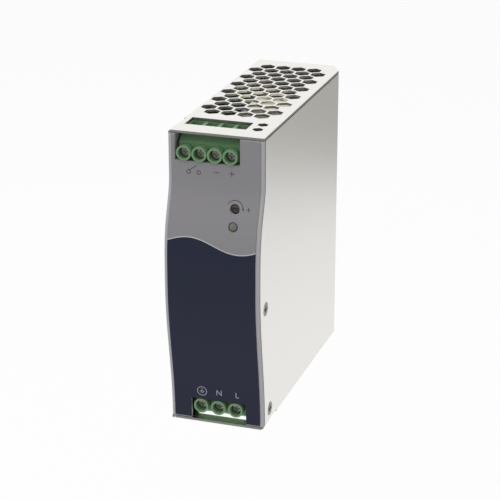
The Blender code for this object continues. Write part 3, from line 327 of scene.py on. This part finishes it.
def add_bump(material, pattern, depth):
    """Raises the surface by a pattern."""
    bump = add_node(material, "ShaderNodeBump")
    bump.inputs["Distance"].default_value = depth
    bump.inputs["Strength"].default_value = BUMP_STRENGTH
    wire(material, pattern, bump.inputs["Height"])
    wire(material, bump.outputs["Normal"], shader_of(material).inputs["Normal"])


def add_shades(material, pattern, contrast):
    """Lets the colour run from darker to lighter by a pattern."""
    colour_in = shader_of(material).inputs["Base Color"]
    tint = colour_in.default_value[:3]
    mix = add_node(material, "ShaderNodeMix", data_type="RGBA")
    mix.inputs["A"].default_value = (*[part * (1 - contrast) for part in tint], 1)
    mix.inputs["B"].default_value = (*[min(1, part * (1 + contrast)) for part in tint], 1)
    wire(material, pattern, mix.inputs["Factor"])
    wire(material, mix.outputs["Result"], colour_in)


def add_sheen_change(material, pattern, spread):
    """Lets the roughness run above and below its value by a pattern."""
    rough_in = shader_of(material).inputs["Roughness"]
    change = add_node(material, "ShaderNodeMapRange")
    change.inputs["To Min"].default_value = rough_in.default_value - spread
    change.inputs["To Max"].default_value = rough_in.default_value + spread
    wire(material, pattern, change.inputs["Value"])
    wire(material, change.outputs["Result"], rough_in)


def grain(material, size, stretch=(1, 1, 1)):
    """A fine mottle on the part's own frame, drawn out along an axis where the stretch is over one."""
    place, _ = object_place(material)
    spread = add_node(material, "ShaderNodeMapping")
    spread.inputs["Scale"].default_value = [1 / size / part for part in stretch]
    wire(material, place, spread.inputs["Vector"])
    noise = add_node(material, "ShaderNodeTexNoise")
    noise.inputs["Scale"].default_value = 1.0
    noise.inputs["Detail"].default_value = GRAIN_DETAIL
    wire(material, spread.outputs["Vector"], noise.inputs["Vector"])
    return noise.outputs["Fac"]


def bands(material, pitch, axis):
    """Rounded ridges side by side along an axis, as layers of tape or turns of wire."""
    place, _ = object_place(material)
    wave = add_node(material, "ShaderNodeTexWave", bands_direction=axis)
    wave.inputs["Scale"].default_value = WAVE_PERIOD / pitch
    wave.inputs["Distortion"].default_value = WAVE_WOBBLE
    wire(material, place, wave.inputs["Vector"])
    return wave.outputs["Fac"]


def tracks(material, size):
    """Lines of copper under the lacquer of a board."""
    _, split = object_place(material)
    flat = add_node(material, "ShaderNodeCombineXYZ")
    wire(material, split["Y"], flat.inputs["X"])
    wire(material, split["Z"], flat.inputs["Y"])
    bricks = add_node(material, "ShaderNodeTexBrick")
    for name, shade in TRACK_SHADES.items():
        bricks.inputs[name].default_value = (shade, shade, shade, 1)
    bricks.inputs["Scale"].default_value = 1 / size
    wire(material, flat.outputs["Vector"], bricks.inputs["Vector"])
    return bricks.outputs["Color"]


def finish(name, tint, roughness, metallic=0.0, size=0.0006, depth=0.000008, contrast=0.06, spread=0.05):
    """A finish with a fine grain in its colour, gloss and surface."""
    material = new_material(name, tint, roughness, metallic)
    mottle = grain(material, size)
    add_shades(material, mottle, contrast)
    add_sheen_change(material, mottle, spread)
    add_bump(material, mottle, depth)
    return material


def body_of(node):
    """The body that a node moves with."""
    for body, members in frame["record"]["behaviour"]["bodies"].items():
        if node in members:
            return body
    raise KeyError(node)


def paint(names, material):
    """Gives CAD nodes, whose shapes are right as they are, a finish."""
    for name in names:
        piece = frame["nodes"][name]
        if not piece.material_slots:
            piece.data.materials.append(material)
        for holder in piece.material_slots:
            holder.material = material


def only(parts, kind):
    """The parts of one kind among what an operator gives back."""
    return [part for part in parts if isinstance(part, kind)]


def move(shape, way):
    """Moves a whole shape."""
    bmesh.ops.translate(shape, vec=way, verts=shape.verts)


def rotate(shape, turn, axis):
    """Turns a whole shape round an axis through the origin."""
    bmesh.ops.rotate(shape, cent=(0, 0, 0), matrix=Matrix.Rotation(turn, 3, axis), verts=shape.verts)


def new_object(name, shape, material):
    """An object at the origin, with a shape as its mesh."""
    mesh = bpy.data.meshes.new(name)
    shape.to_mesh(mesh)
    shape.free()
    piece = bpy.data.objects.new(name, mesh)
    bpy.context.scene.collection.objects.link(piece)
    mesh.materials.append(material)
    return piece


def show(name, shape, material, body):
    """A finished piece that rides on its body."""
    piece = new_object(name, shape, material)
    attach(piece, body)
    return piece


def is_cut_edge(face, solid, thickness):
    """Whether a face is a narrow strip across a sheet's thickness, with square sides and deep steel."""
    narrow = 2 * face.calc_area() / sum(side.calc_length() for side in face.edges) < thickness
    long_sides = [side for side in face.edges if side.calc_length() > LONG_SIDE * thickness]
    square = all(side.calc_face_angle(0) > SQUARE_OVER for side in long_sides)
    inside = face.calc_center_median() - face.normal * MERGE
    behind = solid.ray_cast(inside, -face.normal)[3]
    return narrow and square and behind is not None and behind > DEEP_STEEL * thickness


def softened(node, material, edge, smooth=SMOOTH_UNDER, cut=None, thickness=0.0):
    """A copy of a CAD node with merged faces, softened edges and smooth curves, which stands for the node."""
    shape = bmesh.new()
    shape.from_mesh(frame["nodes"][node].data)
    bmesh.ops.remove_doubles(shape, verts=shape.verts, dist=MERGE)
    bmesh.ops.dissolve_limit(shape, angle_limit=FLAT_WITHIN, verts=shape.verts, edges=shape.edges)
    # Faces across a sheet's thickness take the cut-edge finish: bare steel, darkened as painted shade of the
    # seams.
    if cut:
        solid = BVHTree.FromBMesh(shape)
        for face in shape.faces:
            face.material_index = int(is_cut_edge(face, solid, thickness))
    if edge:
        picked = [
            side for side in shape.edges
            if len(side.link_faces) == 2 and side.calc_face_angle(0) > SHARP_OVER
        ]
        bmesh.ops.bevel(
            shape, geom=picked, offset=edge, offset_type="OFFSET", segments=EDGE_SEGMENTS, profile=0.5,
            affect="EDGES", clamp_overlap=True, material=-1,
        )
    for face in shape.faces:
        face.smooth = True
    for side in shape.edges:
        side.smooth = side.calc_face_angle(0) < smooth
    piece = show(node + "_finished", shape, material, body_of(node))
    if cut:
        piece.data.materials.append(cut)
    flats = piece.modifiers.new("flat faces stay flat", "WEIGHTED_NORMAL")
    flats.keep_sharp = True
    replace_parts(piece, node)
    return piece


def cross_outline(arm, half):
    """The twelve corners of a cross with arms of that reach and half width."""
    quarter = [(arm, -half), (arm, half), (half, half)]
    points = []
    for turn in range(4):
        points += [tuple(Matrix.Rotation(turn * pi / 2, 2) @ Vector(point)) for point in quarter]
    return points


def sink(shape, edges, depth, narrowing):
    """Draws a closed loop of edges down by a depth, narrows it and closes it."""
    grown = bmesh.ops.extrude_edge_only(shape, edges=edges)["geom"]
    bottom = only(grown, bmesh.types.BMVert)
    bmesh.ops.translate(shape, vec=(0, 0, -depth), verts=bottom)
    bmesh.ops.scale(shape, vec=(narrowing, narrowing, 1), verts=bottom)
    bmesh.ops.contextual_create(shape, geom=only(grown, bmesh.types.BMEdge))


class SUPPLY_OT_case(bpy.types.Operator):
    """Finishes the bent sheets of the case and its screws."""

    bl_idname = "supply.case"
    bl_label = "Case sheets and screws"

    def execute(self, context):
        sizes = look("supply_case")
        metal = self.sheet_metal(sizes)
        # The cut-edge finish is bare steel, darkened as painted shade of the seams.
        bare = finish("bare_cut_steel_and_painted_seam_shade", sizes.cut, roughness=0.5, metallic=1.0)
        for node in ("chassis", "side_cover", "rear_panel"):
            softened(node, metal, sizes.edge, cut=bare, thickness=sizes.thickness)
        # The case screws take the screws' darkened tint, which holds painted shade.
        plated = finish(
            "plated_case_screws_painted_shade", look("supply_terminals").screw, roughness=0.30, metallic=1.0,
        )
        for side, facing in (("left", -1), ("right", 1)):
            for level in ("upper", "lower"):
                self.case_screw("%s_case_screw_%s" % (side, level), facing, plated, sizes)
        return {"FINISHED"}

    def sheet_metal(self, sizes):
        """Satin metal with a faint mottle, and fine lines that run from front to rear."""
        metal = new_material("satin_sheet_metal", sizes.metal, sizes.roughness, metallic=1.0)
        mottle = grain(metal, sizes.grain)
        add_shades(metal, mottle, sizes.mottle)
        add_sheen_change(metal, mottle, sizes.sheen)
        lines = grain(metal, sizes.line_width, stretch=(1, sizes.line_stretch, 1))
        add_bump(metal, lines, sizes.line_depth)
        return metal

    def case_screw(self, node, facing, material, sizes):
        """A countersunk screw with a cross recess, drawn along Z and turned to face its side of the case."""
        low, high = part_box(node)
        middle = (low + high) / 2
        radius = (high.z - low.z) / 2
        face = high.x if facing > 0 else low.x
        arm = radius * sizes.recess
        shape = bmesh.new()
        bmesh.ops.create_circle(shape, cap_ends=False, segments=ROUND_SEGMENTS, radius=radius)
        rim = shape.edges[:]
        outline = cross_outline(arm, arm * sizes.recess_arm)
        corners = [shape.verts.new((across, up, 0)) for across, up in outline]
        cross = [shape.edges.new((corner, corners[index - 1])) for index, corner in enumerate(corners)]
        bmesh.ops.triangle_fill(shape, use_beauty=True, use_dissolve=False, edges=rim + cross)
        sink(shape, cross, arm * sizes.recess_depth, sizes.recess_taper)
        sink(shape, rim, high.x - low.x, sizes.head_taper)
        bmesh.ops.recalc_face_normals(shape, faces=shape.faces)
        rotate(shape, facing * pi / 2, "Y")
        move(shape, (face, middle.y, middle.z))
        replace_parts(show(node + "_finished", shape, material, body_of(node)), node)


class SUPPLY_OT_front(bpy.types.Operator):
    """Finishes the moulded front cover and the two-coloured film on it."""

    bl_idname = "supply.front"
    bl_label = "Front cover and film"

    def execute(self, context):
        sizes = look("supply_front")
        moulded = finish("light_grey_moulding", sizes.cover, roughness=0.46, depth=0.00001, contrast=0.03)
        softened("front_cover", moulded, sizes.edge)
        softened("front_label", self.film(sizes), edge=0)
        return {"FINISHED"}

    def film(self, sizes):
        """Grey above a cosine wave, dark blue below it, with a thin pale line between."""
        film = new_material("printed_film", sizes.film_upper, roughness=0.42)
        shader_of(film).inputs["Specular IOR Level"].default_value = sizes.film_gloss
        _, place = object_place(film)
        from_crest = sums(film, "ADD", place["X"], sizes.wave_shift)
        turn = sums(film, "MULTIPLY", from_crest, 2 * pi / sizes.wave_span)
        wave = sums(film, "MULTIPLY", sums(film, "COSINE", turn, 0.0), sizes.wave_rise)
        from_middle = sums(film, "SUBTRACT", place["Z"], sizes.wave_middle + BASE)
        above = sums(film, "SUBTRACT", from_middle, wave)
        is_upper = sums(film, "GREATER_THAN", above, 0.0)
        on_line = sums(film, "COMPARE", above, 0.0)
        on_line.node.inputs[2].default_value = sizes.line_width / 2
        base = add_node(film, "ShaderNodeMix", data_type="RGBA")
        base.inputs["A"].default_value = (*sizes.film_lower, 1)
        base.inputs["B"].default_value = (*sizes.film_upper, 1)
        wire(film, is_upper, base.inputs["Factor"])
        lined = add_node(film, "ShaderNodeMix", data_type="RGBA")
        wire(film, base.outputs["Result"], lined.inputs["A"])
        lined.inputs["B"].default_value = (*sizes.film_line, 1)
        wire(film, on_line, lined.inputs["Factor"])
        wire(film, lined.outputs["Result"], shader_of(film).inputs["Base Color"])
        mottle = grain(film, sizes.film_grain)
        add_sheen_change(film, mottle, spread=0.05)
        add_bump(film, mottle, depth=0.000006)
        return film


def flat_ring(inner, outer):
    """A flat ring in the XY plane round the origin."""
    shape = bmesh.new()
    bmesh.ops.create_circle(shape, cap_ends=False, segments=ROUND_SEGMENTS, radius=inner)
    grown = bmesh.ops.extrude_edge_only(shape, edges=shape.edges[:])["geom"]
    rim = only(grown, bmesh.types.BMVert)
    bmesh.ops.scale(shape, vec=(outer / inner, outer / inner, 1), verts=rim)
    return shape


def drawn_ring(radius, stroke):
    """A ring drawn in the XY plane with a line of that width."""
    return flat_ring(radius - stroke / 2, radius + stroke / 2)


def flat_bar(wide, tall, turn=0.0):
    """A flat bar in the XY plane with its middle at the origin."""
    shape = bmesh.new()
    bmesh.ops.create_grid(shape, x_segments=BAR_SEGMENTS, y_segments=BAR_SEGMENTS, size=1 / 2)
    bmesh.ops.scale(shape, vec=(wide, tall, 1), verts=shape.verts)
    rotate(shape, turn, "Z")
    return shape


def flat_letter(text, height):
    """A letter as a flat mesh in the XY plane, with its middle at the origin."""
    curve = bpy.data.curves.new("letter_" + text, "FONT")
    curve.body = text
    curve.size = height / CAPITAL_SHARE
    curve.align_x = "CENTER"
    curve.align_y = "CENTER"
    holder = bpy.data.objects.new(curve.name, curve)
    bpy.context.scene.collection.objects.link(holder)
    mesh = bpy.data.meshes.new_from_object(holder.evaluated_get(bpy.context.evaluated_depsgraph_get()))
    bpy.data.objects.remove(holder)
    shape = bmesh.new()
    shape.from_mesh(mesh)
    bmesh.ops.remove_doubles(shape, verts=shape.verts, dist=MERGE)
    return shape


def flat_arrow_head(size, turn):
    """A flat three-sided arrow head in the XY plane that points along +X before its turn."""
    shape = bmesh.new()
    bmesh.ops.create_circle(shape, cap_ends=True, segments=3, radius=size)
    bmesh.ops.scale(shape, vec=(ARROW_NARROWING, 1, 1), verts=shape.verts)
    rotate(shape, turn - pi / 2, "Z")
    return shape


def flat_arc(radius, stroke, start, end):
    """A flat arc in the XY plane from one angle to another, made by spinning a short line."""
    shape = bmesh.new()
    ends = [shape.verts.new((radius + side * stroke / 2, 0, 0)) for side in (-1, 1)]
    line = shape.edges.new(ends)
    rotate(shape, start, "Z")
    bmesh.ops.spin(
        shape, geom=[*ends, line], cent=(0, 0, 0), axis=(0, 0, 1), angle=end - start,
        steps=ROUND_SEGMENTS // 2,
    )
    return shape


class SUPPLY_OT_signs(bpy.types.Operator):
    """Prints the generic signs: relay contact, polarity, adjuster arrow, earth, neutral and live."""

    bl_idname = "supply.signs"
    bl_label = "Printed signs"

    def execute(self, context):
        sizes = look("supply_print")
        film = frame["nodes"]["front_label"].data
        self.film = BVHTree.FromPolygons(
            [corner.co.copy() for corner in film.vertices], [list(face.vertices) for face in film.polygons],
        )
        dark = finish("dark_print", sizes.dark, roughness=0.5, depth=0.000002)
        pale = finish("pale_print", sizes.pale, roughness=0.5, depth=0.000002)
        self.relay(dark, sizes)
        self.polarity(dark, sizes)
        self.adjuster(dark, sizes)
        self.mains(pale, sizes)
        return {"FINISHED"}

    def relay(self, ink, sizes):
        """An open contact: two small rings and a lever from the left one."""
        height = 0.1088
        left, right = -0.01125, -0.00706
        radius = 0.00075
        lever = 0.0036
        lever_start = 0.0004
        turn = radians(35)
        reach = Vector((lever, 0, 0)) @ Matrix.Rotation(-turn, 3, "Z")
        lever_middle = left + lever_start + reach.x / 2
        shapes = [
            (drawn_ring(radius, sizes.stroke), left, height),
            (drawn_ring(radius, sizes.stroke), right, height),
            (flat_bar(lever, sizes.stroke, turn), lever_middle, height + radius + reach.y / 2),
        ]
        self.lay("relay_contact_sign", shapes, ink, sizes)

    def polarity(self, ink, sizes):
        """A minus and a plus under the two supply poles."""
        size = 0.0022
        height = 0.1096
        minus, plus = 0.00045, 0.0067
        shapes = [
            (flat_bar(size, sizes.stroke), minus, height),
            (flat_bar(size, sizes.stroke), plus, height),
            (flat_bar(sizes.stroke, size), plus, height),
        ]
        self.lay("polarity_signs", shapes, ink, sizes)

    def adjuster(self, ink, sizes):
        """An arc over the trimmer with an arrow at its right end, and a plus beside it."""
        low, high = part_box("trimmer_rotor")
        across, height = (low.x + high.x) / 2, (low.z + high.z) / 2 - BASE
        radius = 0.00345
        start, end = radians(5), radians(150)
        head = 0.0007
        plus = 0.0016
        plus_across, plus_height = across + 0.0057, height + 0.0004
        tip = Vector((radius, 0, 0)) @ Matrix.Rotation(-start, 3, "Z")
        shapes = [
            (flat_arc(radius, sizes.stroke, start, end), across, height),
            (flat_arrow_head(head, start - pi / 2), across + tip.x, height + tip.y),
            (flat_bar(plus, sizes.stroke), plus_across, plus_height),
            (flat_bar(sizes.stroke, plus), plus_across, plus_height),
        ]
        self.lay("adjuster_sign", shapes, ink, sizes)

    def mains(self, ink, sizes):
        """The protective earth sign in its ring, and the letters of the neutral and live poles."""
        height = 0.0145
        earth, neutral, live = -0.0063, 0.0011, 0.0089
        radius = 0.0020
        stem = 0.0013
        bars = (0.0022, 0.0014, 0.0006)
        bar_stroke = sizes.stroke * 0.8
        bar_step = 0.0005
        shapes = [
            (drawn_ring(radius, sizes.stroke), earth, height),
            (flat_bar(sizes.stroke, stem), earth, height + stem / 2),
            (flat_letter("N", sizes.letter), neutral, height),
            (flat_letter("L", sizes.letter), live, height),
        ]
        for step, wide in enumerate(bars):
            shapes.append((flat_bar(wide, bar_stroke), earth, height - step * bar_step))
        self.lay("mains_signs", shapes, ink, sizes)

    def lay(self, name, shapes, ink, sizes):
        """Stands flat shapes up and lays them on the film's front as one thin piece of ink."""
        sign = bmesh.new()
        for shape, across, height in shapes:
            rotate(shape, pi / 2, "X")
            move(shape, (across, 0, height + BASE))
            flat = bpy.data.meshes.new(name)
            shape.to_mesh(flat)
            shape.free()
            sign.from_mesh(flat)
            bpy.data.meshes.remove(flat)
        bmesh.ops.recalc_face_normals(sign, faces=sign.faces)
        for corner in sign.verts:
            start = Vector((corner.co.x, FILM_FRONT - PRINT_DISTANCE, corner.co.z))
            spot = self.film.ray_cast(start, Vector((0, 1, 0)))[0]
            if spot is None:
                raise RuntimeError("%s runs off the film" % name)
            corner.co.y = spot.y - sizes.gap
        grown = bmesh.ops.extrude_face_region(sign, geom=sign.faces[:], use_keep_orig=True)["geom"]
        lifted = only(grown, bmesh.types.BMVert)
        bmesh.ops.translate(sign, vec=(0, -sizes.thickness, 0), verts=lifted)
        bmesh.ops.recalc_face_normals(sign, faces=sign.faces)
        show(name, sign, ink, BODY)


class SUPPLY_OT_rail(bpy.types.Operator):
    """Finishes the rail bracket, its screws, the latch and the latch spring."""

    bl_idname = "supply.rail"
    bl_label = "Rail bracket and latch"

    def execute(self, context):
        sizes = look("supply_rail")
        plating = look("supply_terminals")
        zinc = finish("zinc_plated_steel", plating.clamp, roughness=0.36, metallic=1.0, size=0.0015)
        for node in ("rail_bracket", "rail_latch"):
            softened(node, zinc, sizes.edge)
        # The bracket screws take the screws' darkened tint, which holds painted shade.
        plated = finish("plated_bracket_screws_painted_shade", plating.screw, roughness=0.30, metallic=1.0)
        for level in ("lower", "upper"):
            softened("bracket_screw_" + level, plated, sizes.screw_edge)
        bright = finish("bright_spring_wire", sizes.spring, roughness=0.28, metallic=1.0)
        self.compress(softened("latch_spring", bright, edge=0, smooth=radians(80)))
        return {"FINISHED"}

    def compress(self, spring):
        """Gives the spring a mesh of its own."""
        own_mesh(spring)


class SUPPLY_OT_terminals(bpy.types.Operator):
    """Finishes the screw terminals: housings, screws, clamps and contacts."""

    bl_idname = "supply.terminals"
    bl_label = "Screw terminals"

    def execute(self, context):
        sizes = look("supply_terminals")
        green = finish("green_moulding", sizes.moulding, roughness=0.42)
        for row in ("output", "input"):
            softened(row + "_housing", green, sizes.edge)
        # The terminal screws' darkened tint holds painted shade of the collars that they sit in.
        plated = finish("plated_terminal_screws_painted_shade", sizes.screw, roughness=0.26, metallic=1.0)
        zinc = finish("zinc_plated_clamps", sizes.clamp, roughness=0.38, metallic=1.0)
        tinned = finish("tinned_contacts", sizes.contact, roughness=0.32, metallic=1.0)
        for pole in POLES:
            softened(pole + "_screw", plated, sizes.screw_edge)
            softened(pole + "_clamp", zinc, sizes.clamp_edge)
        paint([pole + "_contact" for pole in POLES], tinned)
        return {"FINISHED"}


class SUPPLY_OT_controls(bpy.types.Operator):
    """Finishes the trimmer and the unlit indicator."""

    bl_idname = "supply.controls"
    bl_label = "Trimmer and indicator"

    def execute(self, context):
        sizes = look("supply_controls")
        paint(["trimmer_body"], finish("trimmer_housing", sizes.housing, roughness=0.5))
        rotor = finish("trimmer_rotor_brown", sizes.rotor, roughness=0.42)
        softened("trimmer_rotor", rotor, sizes.edge)
        lens = finish("unlit_lens", sizes.lens, roughness=0.6, size=0.001, depth=0.000002)
        softened("status_led", lens, edge=0, smooth=radians(60))
        return {"FINISHED"}


class SUPPLY_OT_electronics(bpy.types.Operator):
    """Finishes the boards and power parts that show through the grilles."""

    bl_idname = "supply.electronics"
    bl_label = "Boards and power parts"

    def execute(self, context):
        sizes = look("supply_inside")
        plain = (
            ("insulating_film", sizes.insulation, 0.5, ("insulation_sheet",)),
            ("sintered_ferrite", sizes.ferrite, 0.55, ("transformer_core",)),
            ("black_anodised_sinks", sizes.sinks, 0.45, ("primary_heatsink", "secondary_heatsink")),
            ("black_package", sizes.packages, 0.45,
             ("switching_transistor", "output_rectifier", "bridge_rectifier")),
            ("navy_sleeve", sizes.sleeves, 0.35,
             ("bulk_capacitor", "output_capacitor_1", "output_capacitor_2")),
            ("yellow_capacitor_case", sizes.filter_case, 0.40, ("line_filter_capacitor",)),
            ("white_relay_case", sizes.relay_case, 0.45, ("signal_relay",)),
            ("ceramic_tube", sizes.ceramic, 0.35, ("fuse",)),
        )
        for name, tint, roughness, nodes in plain:
            paint(nodes, finish(name, tint, roughness))
        paint(("main_board", "control_board"), self.solder_mask(sizes))
        tape = self.wound("winding_tape", sizes.tape, metallic=0.0, pitch=sizes.tape_pitch, axis="Z")
        paint(("transformer_winding",), tape)
        copper = self.wound("enamelled_copper_painted_shade", sizes.copper, metallic=1.0, pitch=sizes.wire_pitch, axis="Y")
        paint(("input_choke", "output_choke"), copper)
        return {"FINISHED"}

    def solder_mask(self, sizes):
        """Dark green lacquer over faint copper tracks."""
        board = new_material("solder_mask", sizes.lacquer, roughness=0.45)
        copper = tracks(board, sizes.tracks)
        add_shades(board, copper, contrast=0.35)
        add_bump(board, copper, depth=0.00003)
        return board

    def wound(self, name, tint, metallic, pitch, axis):
        """Layers of tape or turns of wire side by side, with painted shade in the grooves between them and
        lighter crests.
        """
        layers = new_material(name, tint, roughness=0.45, metallic=metallic)
        ridges = bands(layers, pitch, axis)
        # The colour follows the ridges' height: painted shade in the grooves, lighter on the crests.
        add_shades(layers, ridges, contrast=0.12)
        add_bump(layers, ridges, depth=0.00015)
        return layers


def white_to_eyes(owner):
    """How far a ray sees plain white: one from the camera, in a reflection or through glass."""
    path = add_node(owner, "ShaderNodeLightPath")
    seen = sums(owner, "MAXIMUM", path.outputs["Is Camera Ray"], path.outputs["Is Glossy Ray"])
    return sums(owner, "MAXIMUM", seen, path.outputs["Is Transmission Ray"])


class SUPPLY_OT_stage(bpy.types.Operator):
    """Sets the floor, the ring of card, the even light, the lamp and the camera."""

    bl_idname = "supply.stage"
    bl_label = "Studio"

    def execute(self, context):
        sizes = look("supply_stage")
        self.floor(sizes)
        self.card(sizes)
        self.even_light(sizes)
        self.key_lamp(sizes)
        self.camera(sizes)
        context.scene.view_settings.view_transform = "Standard"
        return {"FINISHED"}

    def floor(self, sizes):
        """A pale floor that cameras and reflections see as nearly white, so that its shadow stays faint."""
        pale = new_material("pale_floor", sizes.floor, sizes.matt)
        white = add_node(pale, "ShaderNodeEmission")
        blend = add_node(pale, "ShaderNodeMixShader")
        wire(pale, sums(pale, "MULTIPLY", white_to_eyes(pale), sizes.whiteness), blend.inputs["Fac"])
        wire(pale, shader_of(pale).outputs["BSDF"], blend.inputs[1])
        wire(pale, white.outputs["Emission"], blend.inputs[2])
        wire(pale, blend.outputs["Shader"], pale.node_tree.nodes["Material Output"].inputs["Surface"])
        shape = bmesh.new()
        bmesh.ops.create_grid(shape, x_segments=1, y_segments=1, size=sizes.reach)
        move(shape, (0, 0, BASE - sizes.drop))
        self.set_down("floor", shape, pale)

    def card(self, sizes):
        """A ring of grey card, out of every picture, that gives the satin sides their fall-off."""
        shape = flat_ring(sizes.card_inner, sizes.card_outer)
        move(shape, (0, CASE_MIDDLE, BASE - sizes.drop + sizes.card_lift))
        card = self.set_down("grey_card", shape, new_material("grey_card", sizes.card, sizes.matt))
        card.visible_camera = False
        card.visible_diffuse = False
        card.visible_shadow = False

    def set_down(self, name, shape, material):
        """A piece of the studio, which isn't part of the object."""
        piece = new_object(name, shape, material)
        return piece

    def even_light(self, sizes):
        """A world that lights evenly from all round, and that cameras and reflections see as white."""
        world = bpy.data.worlds.new("even_light")
        world.use_nodes = True
        back = world.node_tree.nodes["Background"]
        back.inputs["Color"].default_value = (1, 1, 1, 1)
        mix = add_node(world, "ShaderNodeMix")
        mix.inputs["A"].default_value = sizes.fill
        mix.inputs["B"].default_value = 1.0
        wire(world, white_to_eyes(world), mix.inputs["Factor"])
        wire(world, mix.outputs["Result"], back.inputs["Strength"])
        bpy.context.scene.world = world

    def key_lamp(self, sizes):
        """A square lamp over the case that no surface mirrors, so that it leaves no glare on the metal."""
        light = bpy.data.lights.new("key_lamp", "AREA")
        light.size = sizes.spread
        light.energy = sizes.key
        aim = Vector((0, CASE_MIDDLE, 0)) - sizes.key_place
        holder = bpy.data.objects.new("key_lamp", light)
        holder.location = sizes.key_place
        holder.rotation_euler = aim.to_track_quat("-Z", "Y").to_euler()
        holder.visible_glossy = False
        bpy.context.scene.collection.objects.link(holder)

    def camera(self, sizes):
        """A camera that stands where the photo was taken from."""
        camera = bpy.data.cameras.new("photo_camera")
        camera.sensor_width = SENSOR
        camera.angle = 2 * atan(PHOTO_PIXELS / 2 / sizes.focal_pixels)
        holder = bpy.data.objects.new("photo_camera", camera)
        holder.location = sizes.camera_place
        holder.rotation_euler = (pi / 2 - sizes.camera_tilt, 0, sizes.camera_turn)
        bpy.context.scene.collection.objects.link(holder)
        bpy.context.scene.camera = holder


STEPS = (
    SUPPLY_OT_case, SUPPLY_OT_front, SUPPLY_OT_signs, SUPPLY_OT_rail, SUPPLY_OT_terminals, SUPPLY_OT_controls,
    SUPPLY_OT_electronics, SUPPLY_OT_stage,
)


class SUPPLY_PT_looks(bpy.types.Panel):
    """Lists the looks' sizes and colours, and the steps that use them."""

    bl_idname = "SUPPLY_PT_looks"
    bl_label = "Rail power supply"
    bl_space_type = "VIEW_3D"
    bl_region_type = "UI"
    bl_category = "Rail supply"

    def draw(self, context):
        for name, group in LOOKS.items():
            box = self.layout.box()
            box.label(text=group.__doc__)
            for field in group.__annotations__:
                box.prop(getattr(context.scene, name), field)
        for step in STEPS:
            self.layout.operator(step.bl_idname)


CLASSES = (*LOOKS.values(), *STEPS, SUPPLY_PT_looks)


def register():
    for kind in CLASSES:
        bpy.utils.register_class(kind)
    for name, group in LOOKS.items():
        setattr(bpy.types.Scene, name, PointerProperty(type=group))


def unregister():
    for name in LOOKS:
        delattr(bpy.types.Scene, name)
    for kind in reversed(CLASSES):
        bpy.utils.unregister_class(kind)


def main():
    register()
    for step in STEPS:
        group, name = step.bl_idname.split(".")
        getattr(getattr(bpy.ops, group), name)()


if __name__ == "__main__":
    main()
